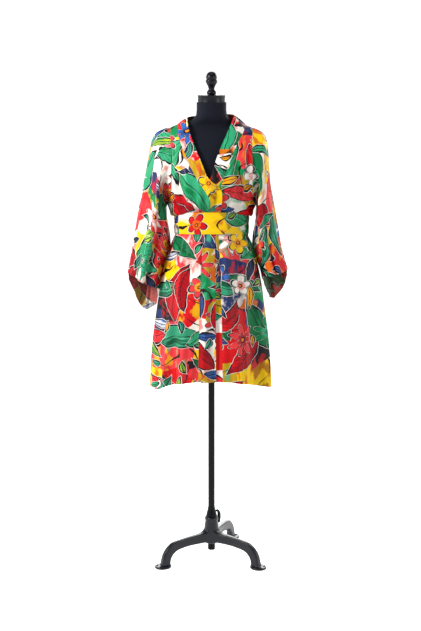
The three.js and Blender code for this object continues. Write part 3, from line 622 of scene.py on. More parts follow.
# The sash is tucked over the skirt, clear of the form, and its thread lies a little out from it.
SASH = {"foot": 1124, "tilt": 11.5, "tall": 71, "thick": 1.8, "clear": 0.7, "tuck": 5, "thread": 0.12}
SKIRT_FADE = {"levels": (640, 1110), "left": 0.25, "end": (1085, 1120)}
SKIRT_FOLDS = table("""
    at wide out
    -66 8 6
    -38 9 -5
    -16 6 3
    27 6 7
    44 8 -6
    64 7 6
    104 8 -5
    124 9 8
    148 9 -6
    172 9 7
    196 8 -6
    222 10 8
    250 8 -5
""")
print("skirt folds:", len(SKIRT_FOLDS["out"]))


# %% Smooth steps and bumps
def ease(value, low, high):
    """0 below low, 1 above high, and smooth between."""
    t = np.clip((value - low) / (high - low), 0, 1)
    return t * t * (3 - 2 * t)


def between(value, start, full, still, end):
    """1 from full to still, 0 before start and after end, and smooth between."""
    return ease(value, start, full) * (1 - ease(value, still, end))


def bump(away, wide):
    """1 in the middle, and smoothly down to nothing at both sides."""
    return np.exp(-((away / wide) ** 2))


def short_way(angle):
    """An angle in degrees as its short way round, from -180 to 180."""
    return (angle + 180) % 360 - 180


def mixed(low, high, share):
    return low + (high - low) * share


def signed_power(value, power):
    return np.sign(value) * np.abs(value) ** power


print("halfway from 640 to 1110 is", ease(875, 640, 1110))


# %% Sections, hem and sash
def section(size, bearing, level, grow=0.0):
    """A point of a section, pushed out by grow."""
    angle = np.radians(bearing)
    across = signed_power(np.sin(angle), 2 / ROUNDNESS)
    along = signed_power(np.cos(angle), 2 / ROUNDNESS)
    depth = np.where(along > 0, size["front"], size["back"])
    deep = depth + np.where(depth > 1, grow, 0)
    x = (size["wide"] + grow) * across
    y = size["middle"] - deep * along
    return np.stack(np.broadcast_arrays(x, y, level), axis=-1).astype(float)


def bearing_at(size, x, behind=False):
    """The bearing, before or behind the middle, at which a section reaches x."""
    angle = np.degrees(np.arcsin(np.clip(np.abs(x) / size["wide"], 0, 1) ** (ROUNDNESS / 2)))
    return 180 - np.sign(x) * angle if behind else np.sign(x) * angle


def sash_foot(bearing):
    return SASH["foot"] + SASH["tilt"] * np.cos(np.radians(bearing))


def sash_top(bearing):
    return sash_foot(bearing) + SASH["tall"]


def hem_level(bearing):
    facing = np.cos(np.radians(bearing))
    corner = HEM["corner"] * bump(bearing - HEM["corner_at"], HEM["corner_wide"])
    return HEM["level"] + np.where(facing > 0, HEM["front"], HEM["back"]) * facing**2 - corner


def skirt_depth(level, fade):
    """How deep the skirt's folds are: they grow shallow upwards, and end under the sash."""
    return mixed(1, fade["left"], ease(level, *fade["levels"])) * (1 - ease(level, *fade["end"]))


def skirt_fold(bearing, level):
    """How far the skirt's long folds stand out."""
    away = short_way(np.asarray(bearing)[..., None] - SKIRT_FOLDS["at"])
    folds = SKIRT_FOLDS["out"] * bump(away, SKIRT_FOLDS["wide"])
    return folds.sum(-1) * skirt_depth(level, SKIRT_FADE)


print("hem level, front and back:", *(round(float(hem_level(at))) for at in (0, 180)), "mm")

# %% Rows of the body
# Rows from hem to shoulder. Each has a kind and a share or a level, and the blouse's rows also
# have a height over the sash and a fullness.
SKIRT_SHARES = (0, 0.1, 0.23, 0.38, 0.54, 0.7, 0.84, 0.95)
SASH_SHARES = (0, 0.04, 0.5, 0.96, 1)
BLOUSE = ((0, 2, 4), (0.95, 4.5, 7.5), (1, 8, 11.5), (0.1, 12, 18))  # hang, height, fullness
BODICE_LEVELS = (1222, 1245, 1280, 1320, 1360, 1400, 1430, 1456, 1476, 1490, 1497)
ROWS = [
    *(("skirt", share, 0, 0) for share in SKIRT_SHARES),
    *(("sash", share, 0, 0) for share in SASH_SHARES),
    *(("blouse", *row) for row in BLOUSE),
    *(("bodice", level, 0, 0) for level in BODICE_LEVELS),
]
ARMPIT_ROW = ROWS.index(("bodice", ARMPIT, 0, 0))
HEM_STEPS = (0, 0.015, 0.05, 0.12, 0.20, 0.25, 0.27, 0.31, 0.45, 0.7)
STEPS = {"skirt": 9, "sash": 3, "blouse": 4, "bodice": 5}
LAP_FROM = (-42, -22)  # bearings between which the right front steps out
LAP_ENDS = (1300, 1380)  # levels between which it comes back in
HANGS = {"sides": 20, "behind": 6}  # how far the blouse hangs over the sash
FLATTER = (0.5, 0.2)  # how much less full it is in front and behind than at the sides
DROOP = ((1.2, 7, 40), (0.8, 16, 0))  # waves along its lower edge: height, count and start
SIDE_SEAMS = {-1: 80, 1: 86}  # bearings at the hem; higher up they reach 90
SLOPE_FROM = 1300  # the level from which the rows take on the slope of the shoulders
print("rows:", len(ROWS), "from hem to shoulder")


# %% Points on the rows
def row_size(row):
    return body_size(row[1]) if row[0] == "bodice" else WAIST


def shoulder_fall(x):
    return np.maximum(0, np.abs(x) - SHOULDER["flat"]) * SHOULDER["slope"]


def body_row(row, bearing, level=None):
    """Points of the body on one of its rows."""
    kind, at, up, grow = row
    bearing = np.asarray(bearing, float)
    facing = np.cos(np.radians(bearing))
    if kind == "skirt":
        z = mixed(hem_level(bearing), sash_foot(bearing) - SASH["tuck"], at)
        return section(body_size(z), bearing, z, skirt_fold(bearing, z))
    if kind == "sash":
        return section(WAIST, bearing, mixed(sash_foot(bearing), sash_top(bearing), at))
    if kind == "blouse":
        overhang = mixed(HANGS["sides"], np.where(facing < 0, HANGS["behind"], 0), facing**2)
        fullness = 1 - np.where(facing > 0, *FLATTER) * facing**2
        for high, waves, start in DROOP:
            overhang = overhang + high * np.cos(np.radians(waves * bearing + start))
        z = sash_top(bearing) + up - overhang * at
        return section(WAIST, bearing, z, grow * fullness)
    level = at if level is None else level
    points = section(body_size(level), bearing, level)
    points[..., 2] -= shoulder_fall(points[..., 0]) * ease(level, SLOPE_FROM, RIDGE)
    return points


def side_bearing(row, side):
    if row[0] == "bodice" and row[1] > ARMPIT:
        return bearing_at(row_size(row), side * armhole_x(row[1]))
    return side * (mixed(SIDE_SEAMS[side], 90, row[1]) if row[0] == "skirt" else 90)


def band_edge(band, row, edge):
    """Where a band's seam or free edge lies on a row."""
    level = {
        "skirt": mixed(HEM["level"], sash_foot(0) - SASH["tuck"], row[1]),
        "sash": mixed(sash_foot(0), sash_top(0), row[1]),
        "blouse": sash_top(0) + 3,
        "bodice": row[1],
    }[row[0]]
    return band(level)[edge]


def lap_step(bearing):
    """How far the right front stands out over the left one."""
    return TOP_LAYER * ease(bearing, *LAP_FROM)


def step_out(points, row, bearing):
    """Moves the overlapping front out over the other."""
    fade = 1 - ease(row[1], *LAP_ENDS) if row[0] == "bodice" else 1
    out = lap_step(bearing) * fade
    points[..., 0] += np.sin(np.radians(bearing)) * out
    points[..., 1] -= np.cos(np.radians(bearing)) * out


print("side seams at the hem:", -SIDE_SEAMS[-1], "and", SIDE_SEAMS[1], "degrees")

# %% [markdown]
# ## From rows to cloth
#
# The rows are joined by a smooth curve in each column, so the cloth has no flat steps. Then every
# piece is laid out flat by its own lengths, across from its grain line and up from its first row.
# That flat cut is kept on the mesh as the map "Cut", and the print is painted on it, so the print
# bends with the cloth and is cut off at the seams as real yardage is. Last, the surface gets its
# folds, and a wall of one millimetre with a wrong side.

# %% Sheets from rows
CLOTH = 1.0
SHARP = 55  # degrees from which an edge of the wall is a sharp one
PRINT_PLACE = {  # where on the printed yardage each piece is cut, in metres
    "right_front": (0.20, 0.10),
    "left_front": (1.10, 0.35),
    "right_band": (2.05, 0.15),
    "left_band": (2.45, 0.60),
    "back_panel": (3.40, 0.05),
    "neck_band": (2.90, 0.80),
    "right_sleeve": (4.60, 0.20),
    "left_sleeve": (5.70, 0.45),
    "sash": (9.30, 2.20),
    "sash_end_right": (7.30, 0.10),
    "sash_end_left": (7.60, 0.40),
}


def spread(count, width, fine=(0.8, 2.4, 5.0)):
    """Shares across a piece of that width in mm, close together at both edges."""
    near = np.array((0, *fine)) / width
    middle = np.linspace(near[-1], 1 - near[-1], count)[1:-1]
    return np.concatenate((near, middle, 1 - near[::-1]))


def body_sheet(control):
    """A smooth surface through the body's rows, with fine rows at the hem."""
    lengths = np.maximum(np.linalg.norm(np.diff(control, axis=0), axis=2), 1e-6)[..., None]
    slope = np.diff(control, axis=0) / lengths
    before, after = lengths[:-1], lengths[1:]
    inner = (slope[1:] * before + slope[:-1] * after) / (before + after)
    tangent = np.concatenate((slope[:1], inner, slope[-1:]))
    made = []
    for i in range(len(control) - 1):
        count = STEPS[ROWS[i][0]]
        for t in HEM_STEPS if i == 0 else np.arange(count) / count:
            start, end = control[i], control[i + 1]
            pull = (tangent[i] * (1 - t) - tangent[i + 1] * t) * lengths[i] * t * (1 - t)
            made.append(start + (end - start) * t * t * (3 - 2 * t) + pull)
    return np.array([*made, control[-1]])


print("sheet helpers ready")

# %% Laid out flat
LINKS = (  # neighbours in a grid: beside, above and both ways across a cell
    (np.s_[:, :-1], np.s_[:, 1:]),
    (np.s_[:-1], np.s_[1:]),
    (np.s_[:-1, :-1], np.s_[1:, 1:]),
    (np.s_[:-1, 1:], np.s_[1:, :-1]),
)
COARSE = (30, 16)  # rows and columns of the coarse grid that is settled flat
ROUNDS, PULL = 500, 1.5  # how often it is pulled into shape, and how hard


def settled(points, flat):
    """Moves a flat layout until the lengths of all its links are those of the hung cloth."""
    lengths = [np.linalg.norm(points[b] - points[a], axis=-1) for a, b in LINKS]
    for _ in range(ROUNDS):
        pull, count = np.zeros_like(flat), np.zeros(flat.shape[:2] + (1,))
        for (a, b), length in zip(LINKS, lengths):
            way = flat[b] - flat[a]
            now = np.linalg.norm(way, axis=-1)
            step = way * ((now - length) / now / 2)[..., None]
            pull[a] += step
            pull[b] -= step
            count[a] += 1
            count[b] += 1
        flat = flat + pull / count * PULL
    return flat


def evenly(lengths, count):
    """Indices of about that many points, evenly spread by length."""
    marks = np.linspace(0, lengths[-1], count)
    return np.unique([np.abs(lengths - mark).argmin() for mark in marks])


def measured(points, axis):
    """How far each point lies from the start of its column (axis 0) or of its row (axis 1)."""
    steps = np.linalg.norm(np.diff(points, axis=axis), axis=2)
    return np.cumsum(np.insert(steps, 0, 0, axis=axis), axis=axis)


def laid_flat(points, grain):
    """Each point's place in the flat cut, with the grain column upright and its foot at zero."""
    across, up = measured(points, 1), measured(points, 0)
    flat = np.stack((across - across[:, grain][:, None], up), axis=2)
    middle = len(flat) // 2
    rows, cols = evenly(up[:, grain], COARSE[0]), evenly(across[middle], COARSE[1])
    coarse = flat[np.ix_(rows, cols)]
    shift = settled(points[np.ix_(rows, cols)], coarse) - coarse
    all_rows, all_cols = np.arange(len(flat)), np.arange(flat.shape[1])
    for k in (0, 1):
        wide = np.array([np.interp(all_cols, cols, line) for line in shift[..., k]])
        flat[..., k] += np.array([np.interp(all_rows, rows, line) for line in wide.T]).T
    flat -= flat[0, grain]
    x, y = flat[-1, grain] / np.linalg.norm(flat[-1, grain])
    return flat @ np.array(((y, x), (-x, y)))


print("flat cuts settle on a grid of", COARSE[0], "by", COARSE[1])


# %% Moving a sheet out
def facing_out(points, closed=False, outside=1):
    """Unit normals of a grid of points."""
    ringed = np.concatenate((points[:, -1:], points, points[:, :1]), axis=1) if closed else points
    across = np.gradient(ringed, axis=1)
    across = across[:, 1:-1] if closed else across
    normals = np.cross(across, np.gradient(points, axis=0)) * outside
    return normals / np.maximum(np.linalg.norm(normals, axis=2, keepdims=True), 1e-9)


def moved_out(points, out, closed=False, outside=1):
    return points + facing_out(points, closed, outside) * np.asarray(out)[..., None]


print("a seam is", SEAM, "mm wide")


# %% A cloth wall with a right and a wrong side
def cloth_wall(name, outer, cut, finishes, thick=CLOTH, closed=False, outside=1):
    """A closed thin wall. outer is the right side, and cut its place in the flat cloth, in mm."""
    rows, cols = outer.shape[:2]
    across = cols if closed else cols - 1
    inner = moved_out(outer, -thick, closed, outside)
    points = placed(np.concatenate((outer.reshape(-1, 3), inner.reshape(-1, 3))))
    j, i = np.meshgrid(np.arange(rows - 1), np.arange(across), indexing="ij")
    k = (i + 1) % cols
    right = np.stack((j * cols + i, j * cols + k, (j + 1) * cols + k, (j + 1) * cols + i), -1)
    flat = cut / 1000 + PRINT_PLACE[name]
    on_cut = np.stack((flat[j, i], flat[j, i + 1], flat[j + 1, i + 1], flat[j + 1, i]), 2)
    faces, places = [right.reshape(-1, 4)], [on_cut.reshape(-1, 4, 2)]
    faces.append(right.reshape(-1, 4)[:, ::-1] + rows * cols)
    places.append(on_cut.reshape(-1, 4, 2)[:, ::-1])

    def rim(a, b, cut_a, cut_b):
        a, b = np.asarray(a), np.asarray(b)
        faces.append(np.stack((b, a, a + rows * cols, b + rows * cols), -1))
        places.append(np.stack((cut_b, cut_a, cut_a, cut_b), 1))

    i = np.arange(across)
    k = (i + 1) % cols
    last = (rows - 1) * cols
    rim(i, k, flat[0, i], flat[0, i + 1])
    rim(k + last, i + last, flat[-1, i + 1], flat[-1, i])
    if not closed:
        j = np.arange(rows - 1) * cols
        rim(j + cols, j, flat[1:, 0], flat[:-1, 0])
        rim(j + cols - 1, j + 2 * cols - 1, flat[:-1, -1], flat[1:, -1])
    quads, places = np.concatenate(faces), np.concatenate(places)
    if outside < 0:
        quads, places = quads[:, ::-1], places[:, ::-1]

    mesh = bpy.data.meshes.new("robe_" + name)
    mesh.from_pydata(points.tolist(), [], quads.tolist())
    mesh.uv_layers.new(name="Cut").data.foreach_set("uv", places.astype(np.float32).ravel())
    for finish in finishes:
        mesh.materials.append(finish)
    wrong = np.zeros(len(quads), np.int32)
    wrong[(rows - 1) * across : 2 * (rows - 1) * across] = len(finishes) - 1
    mesh.polygons.foreach_set("material_index", wrong)
    mesh.shade_smooth()
    mesh.set_sharp_from_angle(angle=math.radians(SHARP))
    return shown(mesh.name, mesh)


print("cloth wall helper ready")

# %% Keeping the pieces
CLOTHS = {}  # finished cloth pieces, with what a sheet's declaration needs
STITCH_LINES = []  # lines of stitches, in mm about the pole
STITCH_RISE = 0.15  # how far the thread lies out from the cloth


def joined(points):
    """A grid of points that goes all the way round, with its first column again at the end."""
    return np.concatenate((points, points[:, :1]), axis=1)


def surface_area(points, closed=False):
    """The area of a grid of points in mm, in square metres."""
    ring = joined(points) if closed else points
    across = ring[1:, 1:] - ring[:-1, :-1]
    other = ring[1:, :-1] - ring[:-1, 1:]
    return float(np.linalg.norm(np.cross(across, other), axis=-1).sum() / 2 / 1e6)


def robe_piece(name, outer, cut, held="hung", on="dress_form", finishes=(SATIN, SATIN_BACK), **wall):
    """A finished piece of cloth, kept with its cut size, its area and how it is held."""
    made = cloth_wall(name, outer, cut, finishes, **wall)
    size = np.ptp(cut.reshape(-1, 2), axis=0) / 1000
    area = surface_area(outer, wall.get("closed"))
    CLOTHS[name] = {"piece": made, "size": size, "area": area, "held": held, "on": on}
    print(f"{name}: {len(made.data.polygons)} faces, cut {size[0]:.3f} x {size[1]:.3f} m")


print("pieces get a wall of", CLOTH, "mm")

# %% [markdown]
# ## Folds
#
# Satin hangs in few, soft, uneven folds. The main ones are listed in a table of lines
# seen from the front or the back: where each starts and ends, how wide it is, and how far it
# stands out or in. A finer ripple gathers the cloth just above and below the sash, where it is
# drawn in. Both layers of a lap share the same folds, so that they nest.

# %% Tables of folds
FRONT_FOLDS = table("""
    x0 z0 x1 z1 wide out
    -120 1450 -104 1250 9 -6
    -96 1430 -78 1240 10 4.5
    -66 1330 -56 1225 7 -3.6
    -110 1280 -92 1214 6 3.6
    -44 1262 -38 1214 5 2.7
    118 1440 112 1262 9 -6
    96 1440 116 1290 9 4.5
    126 1300 52 1222 9 -4.8
    112 1262 38 1212 7 3.9
    84 1400 70 1260 10 -3.9
    66 1246 60 1214 5 -2.7
    26 1126 34 880 8 -7.5
    46 1122 60 800 11 7.4
    -60 1122 -78 860 10 -7.2
    -36 1124 -42 960 8 5
    -92 1116 -124 800 12 7.4
    86 1118 112 820 11 -6.8
    -132 980 -156 700 12 -4.5
    0 900 4 700 12 3
""")
BACK_FOLDS = table("""
    x0 z0 x1 z1 wide out
    -112 1420 -84 1230 10 -4.8
    104 1430 90 1236 11 -4.5
    -60 1300 -44 1216 9 3.9
    36 1330 24 1216 10 3.6
    76 1290 60 1214 8 -3.4
    -20 1280 -12 1216 7 -2.8
    -86 1112 -118 760 11 4.8
    -34 1114 -46 820 10 -4.5
    14 1114 20 860 10 4.2
    60 1112 84 780 11 -4.8
    104 1108 140 720 12 4.2
""")


print("folds:", len(FRONT_FOLDS["out"]), "in front,", len(BACK_FOLDS["out"]), "behind")

# %% Folds from the tables, and gathers
FOLD_ENDS = (-0.08, 0.3, 0.7, 1.1)  # shares of its length where a fold rises and sinks


def hand_folds(points, folds):
    """How far the folds of a table push out the cloth, seen along Y."""
    out = np.zeros(points.shape[:-1])
    for x0, z0, x1, z1, wide, height in zip(*folds.values()):
        line = np.array([x1 - x0, z1 - z0])
        rel = points[..., [0, 2]] - (x0, z0)
        t = (rel @ line) / (line @ line)
        away = np.abs(rel[..., 0] * line[1] - rel[..., 1] * line[0]) / np.linalg.norm(line)
        ends = between(t, *FOLD_ENDS)
        out += height * bump(away, wide) * ends
    return out


GATHERS = (  # how deep they are, and heights from the sash's foot where they rise and sink
    (1.3, (-110, -26, -12, -1)),
    (2.1, (74, 88, 100, 165)),
)


def gathers(points):
    """The fine ripple where the sash draws the cloth in."""
    turn = np.arctan2(points[..., 0], -points[..., 1])
    height = points[..., 2] - sash_foot(np.degrees(turn))
    ripple = np.cos(19 * turn + 2.1 * np.sin(2 * turn + 0.6)) + 0.7 * np.cos(31 * turn + 1.7)
    return ripple * sum(deep * between(height, *ends) for deep, ends in GATHERS)


print("gathers above and below the sash:", len(GATHERS))

# %% Broad folds and seams
# Crests round the body, where they start, how far they lean over a metre, how high they stand.
DRAPE = table("""
    crests start lean skirt bodice
    9 0.4 2.6 7 1.6
    14 2.2 -3.4 5.6 2.2
    23 4.1 4.6 2.6 1.7
""")


DRAPE_FADE = {"levels": (640, 1080), "left": 0.35, "end": (1090, 1118)}
BODICE_FADE = {"start": (1212, 1260), "levels": (1340, 1450), "left": 0.25}


def crested(wave):
    """Narrow crests with wide hollows between, from a cosine."""
    return np.exp(1.8 * (wave - 1)) * 2 - 0.7


def drape(points):
    """Broad hanging folds, deeper towards the hem."""
    turn = np.arctan2(points[..., 0], -points[..., 1])
    level = points[..., 2]
    low = skirt_depth(level, DRAPE_FADE)
    high = mixed(1, BODICE_FADE["left"], ease(level, *BODICE_FADE["levels"]))
    high = high * ease(level, *BODICE_FADE["start"])
    out = np.zeros(level.shape)
    for crests, start, lean, skirt, bodice in zip(*DRAPE.values()):
        slant = lean * (level - HEM["level"]) / 1000
        wave = np.cos(crests * turn + start + slant + 0.8 * np.sin(2 * turn + start))
        out += crested(wave) * (skirt * low + bodice * high)
    return out


CALM_SHOULDERS = (1400, 1470)  # the folds of the tables grow shallow between these levels


def body_folds(points, folds):
    top = np.clip(1.25 - ease(points[..., 2], *CALM_SHOULDERS), 0, 1)
    return hand_folds(points, folds) * top + gathers(points) + drape(points)


DIP = {"deep": 0.3, "wide": 1.6}


def seam_dip(shares, width, low=True, high=True):
    """Edges dip into a seam: how far each column sinks, from its share across."""
    near, far = bump(shares * width, DIP["wide"]), bump((1 - shares) * width, DIP["wide"])
    return -DIP["deep"] * (near * low + far * high)


print("broad folds: layers of", DRAPE["crests"].tolist(), "crests")

# %% [markdown]
# ## The fronts and their bands
#
# Each front is one panel from the side seam to the band. The band is a double strip, so it is
# thicker, and runs from the shoulder down to the hem.

# %% Fronts
HEM_ROW = 5  # the row where the turned-up hem ends, 12 mm above its edge
HEM_RISE = 0.45
FRONT = 230  # about this wide
FRONT_SHARES = spread(40, FRONT)
SIDES = ((-1, "right", right_band), (1, "left", left_band))


def hem_rise(points):
    """The turned-up hem is a little thicker, and stands proud by this much in each row."""
    rise = np.zeros(points.shape[:2])
    rise[:HEM_ROW] = HEM_RISE
    return rise


def stitch_along(surface, where, rise=STITCH_RISE, **way):
    """Keeps a line of the surface, moved out to where its thread lies."""
    STITCH_LINES.append(moved_out(surface, rise, **way)[where])


def front_cloth(bearing_of, lap, stand=None):
    """Cloth on the front of the body, from the bearings of its columns on each row."""
    rows = []
    for row in ROWS:
        bearing = bearing_of(row, row_size(row))
        points = body_row(row, bearing)
        if lap:
            step_out(points, row, bearing)
        if stand and row[0] == "bodice":
            points[:, 2] += stand(row[1])
        rows.append(points)
    rows[-1][:, 1] -= SEAM / 2
    return body_sheet(np.array(rows))


def front_sheet(side, band, lap, shares):
    def bearings(row, size):
        outer = side_bearing(row, side) - side * np.degrees(SEAM / 2 / size["wide"])
        seam = bearing_at(size, band_edge(band, row, "seam"))
        return mixed(outer, seam, shares if side < 0 else 1 - shares)

    return front_cloth(bearings, lap)


for side, name, band in SIDES:
    base = front_sheet(side, band, side < 0, FRONT_SHARES)
    cut = laid_flat(base, -1 if side < 0 else 0)
    out = body_folds(base, FRONT_FOLDS) + seam_dip(FRONT_SHARES, FRONT) + hem_rise(base)
    surface = moved_out(base, out)
    robe_piece(f"{name}_front", surface, cut)
    stitch_along(surface, np.s_[HEM_ROW - 1, 2:-2])

# %% Front bands
BAND = {"wide": 37, "thick": 1.5}
BAND_SHARES = spread(6, BAND["wide"])


def band_sheet(side, band, lap, shares):
    across = shares if side < 0 else 1 - shares

    def bearings(row, size):
        seam = band_edge(band, row, "seam") - side * 1.5 * SEAM
        return bearing_at(size, mixed(seam, band_edge(band, row, "free"), across))

    return front_cloth(bearings, lap, lambda level: band(level)["stand"] * across)


for side, name, band in SIDES:
    base = band_sheet(side, band, side < 0, BAND_SHARES)
    cut = laid_flat(base, 0 if side < 0 else -1)
    dip = seam_dip(BAND_SHARES, BAND["wide"], low=side < 0, high=side > 0)
    surface = moved_out(base, body_folds(base, FRONT_FOLDS) + dip + hem_rise(base))
    robe_piece(f"{name}_band", surface, cut, thick=BAND["thick"])
    stitch_along(surface, np.s_[HEM_ROW - 1, 1:-1])
    stitch_along(surface, np.s_[2:-2, 3 if side < 0 else -4])

# %% [markdown]
# ## The back and the neck band
#
# The back is one panel with a shallow neckline. Above the shoulder blades its rows close in under
# the neckline. The neck band's last piece stands behind the neck and joins the two front bands.

# %% Back
NECK_SHARE = 8 / 11
NECKLINE = {"drop": 31, "curve": 2.4}
CLOSE_IN = {"from": 1360, "sides": (ARMPIT, 1320), "top": (1400, RIDGE)}  # levels


def neckline(x):
    share = np.minimum(1, np.abs(x) / NECK_SEAM_X)
    return RIDGE - NECKLINE["drop"] * (1 - share ** NECKLINE["curve"])


def back_rows(shares):
    """Rows of the back. A share runs from +1 at the left armhole to -1 at the right one."""
    side, far = np.where(shares < 0, -1, 1), np.abs(shares)
    made = []
    for row in ROWS:
        size = row_size(row)
        low_row = ("bodice", ARMPIT, 0, 0) if row[0] == "bodice" else row
        seam = np.where(side < 0, -side_bearing(low_row, -1), side_bearing(low_row, 1))
        low = 180 - side * far * (180 - seam)
        low = low + np.where(far == 1, side * np.degrees(SEAM / 2 / size["wide"]), 0)
        upper = ease(row[1], *CLOSE_IN["sides"]) if row[0] == "bodice" else 0
        if upper == 0:
            made.append(body_row(row, low))
            continue
        level = row[1]
        beyond = (far - NECK_SHARE) / (1 - NECK_SHARE)
        outer_x = mixed(NECK_SEAM_X, armhole_x(RIDGE), beyond)
        top_x = np.where(far <= NECK_SHARE, far / NECK_SHARE * NECK_SEAM_X, outer_x)
        x = mixed(far * armhole_x(level), top_x, ease(level, *CLOSE_IN["top"]))
        start = min(level, CLOSE_IN["from"])
        share = (level - start) / (RIDGE - start)
        squeezed = mixed(start, neckline(top_x), share)
        levels = np.where(far < NECK_SHARE, squeezed, level)
        high = bearing_at(body_size(levels), side * x, behind=True)
        made.append(body_row(row, mixed(low, high, upper), levels))
    made[-1][:, 1] += SEAM / 2
    return np.array(made)


BACK = 600  # about this wide
half = spread(52, BACK / 2)[4:]  # without the fine columns at the middle
BACK_SHARES = np.concatenate((-half[::-1], [0.0], half))[::-1]
base = body_sheet(back_rows(BACK_SHARES))
cut = laid_flat(base, len(half))
dip = seam_dip((1 - BACK_SHARES) / 2, BACK)
surface = moved_out(base, body_folds(base, BACK_FOLDS) + dip + hem_rise(base))
robe_piece("back_panel", surface, cut)
stitch_along(surface, np.s_[HEM_ROW - 1, 2:-2])

# %% Neck band
NECK_BAND = {"behind": 58, "rise": 3, "roll": 2.0, "wide": 40, "columns": 81}
neck_seam = back_rows(np.linspace(NECK_SHARE, -NECK_SHARE, NECK_BAND["columns"]))[-1]
turn = np.linspace(0, math.pi, NECK_BAND["columns"])
ends = [left_band(RIDGE), right_band(RIDGE)]
end_levels = [RIDGE - shoulder_fall(end["free"]) + end["stand"] for end in ends]
share = (1 - np.cos(turn)) / 2
free_edge = np.stack((
    mixed(ends[0]["free"], -ends[1]["free"], share) * np.cos(turn),
    RIDGE_Y + SEAM / 2 + NECK_BAND["behind"] * np.sin(turn),
    mixed(*end_levels, share) + NECK_BAND["rise"] * np.sin(turn),
), axis=1)
up = spread(6, NECK_BAND["wide"])[:, None, None]
gap = SEAM / np.linalg.norm(free_edge - neck_seam, axis=1)[None, :, None]
base = mixed(neck_seam, free_edge, mixed(gap, 1, up))
surface = moved_out(base, NECK_BAND["roll"] * np.sin(math.pi * up[..., 0]))
robe_piece("neck_band", surface, laid_flat(base, NECK_BAND["columns"] // 2), thick=BAND["thick"])
stitch_along(surface, np.s_[4, 2:-2])

# %% [markdown]
# ## The sleeves
#
# A kimono sleeve is a wide tube sewn to a deep armhole. It hangs flat, with one fold along the
# top of the arm and one under it, and its rear hangs lower than its front. Each ring of the tube
# is a four-cornered oval that starts as the armhole itself.

# %% Rings of the sleeves
RIGHT_SLEEVE = table("""
    ring xo zo xi zi mid front back drop
    1 151 1468 147.5 1210 5 84 86 0
    2 177 1456 148 1192 3 84 84 0
    3 192 1434 148 1172 2 82 80 0
    4 201 1395 142 1145 0 79 76 4
    5 211 1348 138 1112 -3 75 72 9
    6 222 1292 139 1080 -6 71 69 16
    7 235 1226 146 1048 -9 67 66 26
    8 248 1150 156 1016 -12 62 64 42
    9 262 1074 165 980 -15 57 62 72
    10 277 998 171 942 -18 52 60 108
""")
LEFT_SLEEVE = table("""
    ring xo zo xi zi mid front back drop
    1 149 1465 147.5 1210 5 84 86 0
    2 168 1453 148 1192 3 85 84 0
    3 179 1430 148 1172 2 84 82 0
    4 184 1395 142 1145 0 82 80 4
    5 188 1348 138 1118 -3 79 77 9
    6 192 1298 138 1090 -6 75 74 16
    7 202 1240 143 1062 -9 71 71 26
    8 215 1166 151 1036 -12 66 68 42
    9 229 1088 160 1012 -15 60 65 66
    10 252 1008 168 985 -18 54 62 98
""")
SLEEVE_CORNER = 1.55
SLEEVE_FOLDS = {
    "right": table("""
        turn0 turn1 start end wide out
        116 108 0.05 1.05 10 -10.5
        92 82 0.08 1.1 11 7.5
        60 50 0.3 1.1 12 -6
        140 134 0.25 1.1 9 5.2
        32 30 0.1 0.7 10 4.5
        250 262 0.1 1.1 12 -9
        280 292 0.15 1.1 11 7.5
        318 322 0.35 1.1 11 -6
        222 230 0.4 1.1 10 5.2
    """),
    "left": table("""
        turn0 turn1 start end wide out
        104 112 0.05 1.05 10 9
        76 84 0.08 1.1 11 -8.2
        132 138 0.2 1.1 9 -6
        48 44 0.3 1.1 12 6
        24 22 0.55 1.1 9 -5.2
        248 256 0.1 1.1 12 7.5
        276 284 0.15 1.1 11 -8.2
        312 316 0.3 1.1 12 6
        226 222 0.45 1.1 10 -5.2
    """),
}
SLEEVE_DRAPE = table("""
    crests start lean height
    7 0.9 3 1.6
    12 3 -5 1.3
    19 5.2 7 0.7
""")
RINGS = 64
RING_SPACING = 1.1  # above 1 the rings stand closer together at the armhole
CUFF_ROWS, CUFF_FROM = 5, 0.97
SLEEVE_ENDS = (0, 0.35, 0.97, 1.1)  # shares of its length where a fold rises and sinks
DRAPE_FROM = (0.03, 0.3)
ARMHOLE_DIP = 0.5  # the sleeve sinks into its seam by this much
print("sleeve tables:", len(RIGHT_SLEEVE["ring"]), "rings")


# %% Sleeves
def armhole(side):
    """Points round an armhole from its lowest point up the back, over, and down the front."""
    first = sum(len(HEM_STEPS) if i == 0 else STEPS[ROWS[i][0]] for i in range(ARMPIT_ROW))
    edge = np.array([0.0 if side < 0 else 1.0])
    front = front_sheet(side, right_band if side < 0 else left_band, False, edge)[first:, 0]
    back = body_sheet(back_rows(np.array([float(side)])))[first:, 0]
    ring = np.concatenate((back, front[::-1][1:-1]))
    turn = 180 + 360 * np.arange(len(ring)) / len(ring)
    return ring + (side * 1.5 * SEAM, 0, 0), turn % 360


def sleeve_rings(side, rows):
    start, turn = armhole(side)
    size_at = curves(rows, "ring")
    steps = np.linspace(0, 1, RINGS - CUFF_ROWS) ** RING_SPACING
    share = np.concatenate((steps[:-1] * CUFF_FROM, np.linspace(CUFF_FROM, 1, CUFF_ROWS + 1)))
    made = []
    for at in rows["ring"][-1] * share:
        size = size_at(max(1.0, at))
        out = signed_power(np.cos(np.radians(turn)), 2 / SLEEVE_CORNER)
        ahead = signed_power(np.sin(np.radians(turn)), 2 / SLEEVE_CORNER)
        depth = np.where(ahead > 0, size["front"], size["back"])
        low = np.where(ahead < 0, size["drop"] * ahead, 0)
        ring = np.stack((
            side * mixed(size["xi"], size["xo"], (1 + out) / 2),
            size["mid"] - depth * ahead,
            mixed(size["zi"], size["zo"], (1 + out) / 2) + low,
        ), axis=1)
        made.append(mixed(start, ring, at) if at < 1 else ring)
    return np.array(made), share, turn


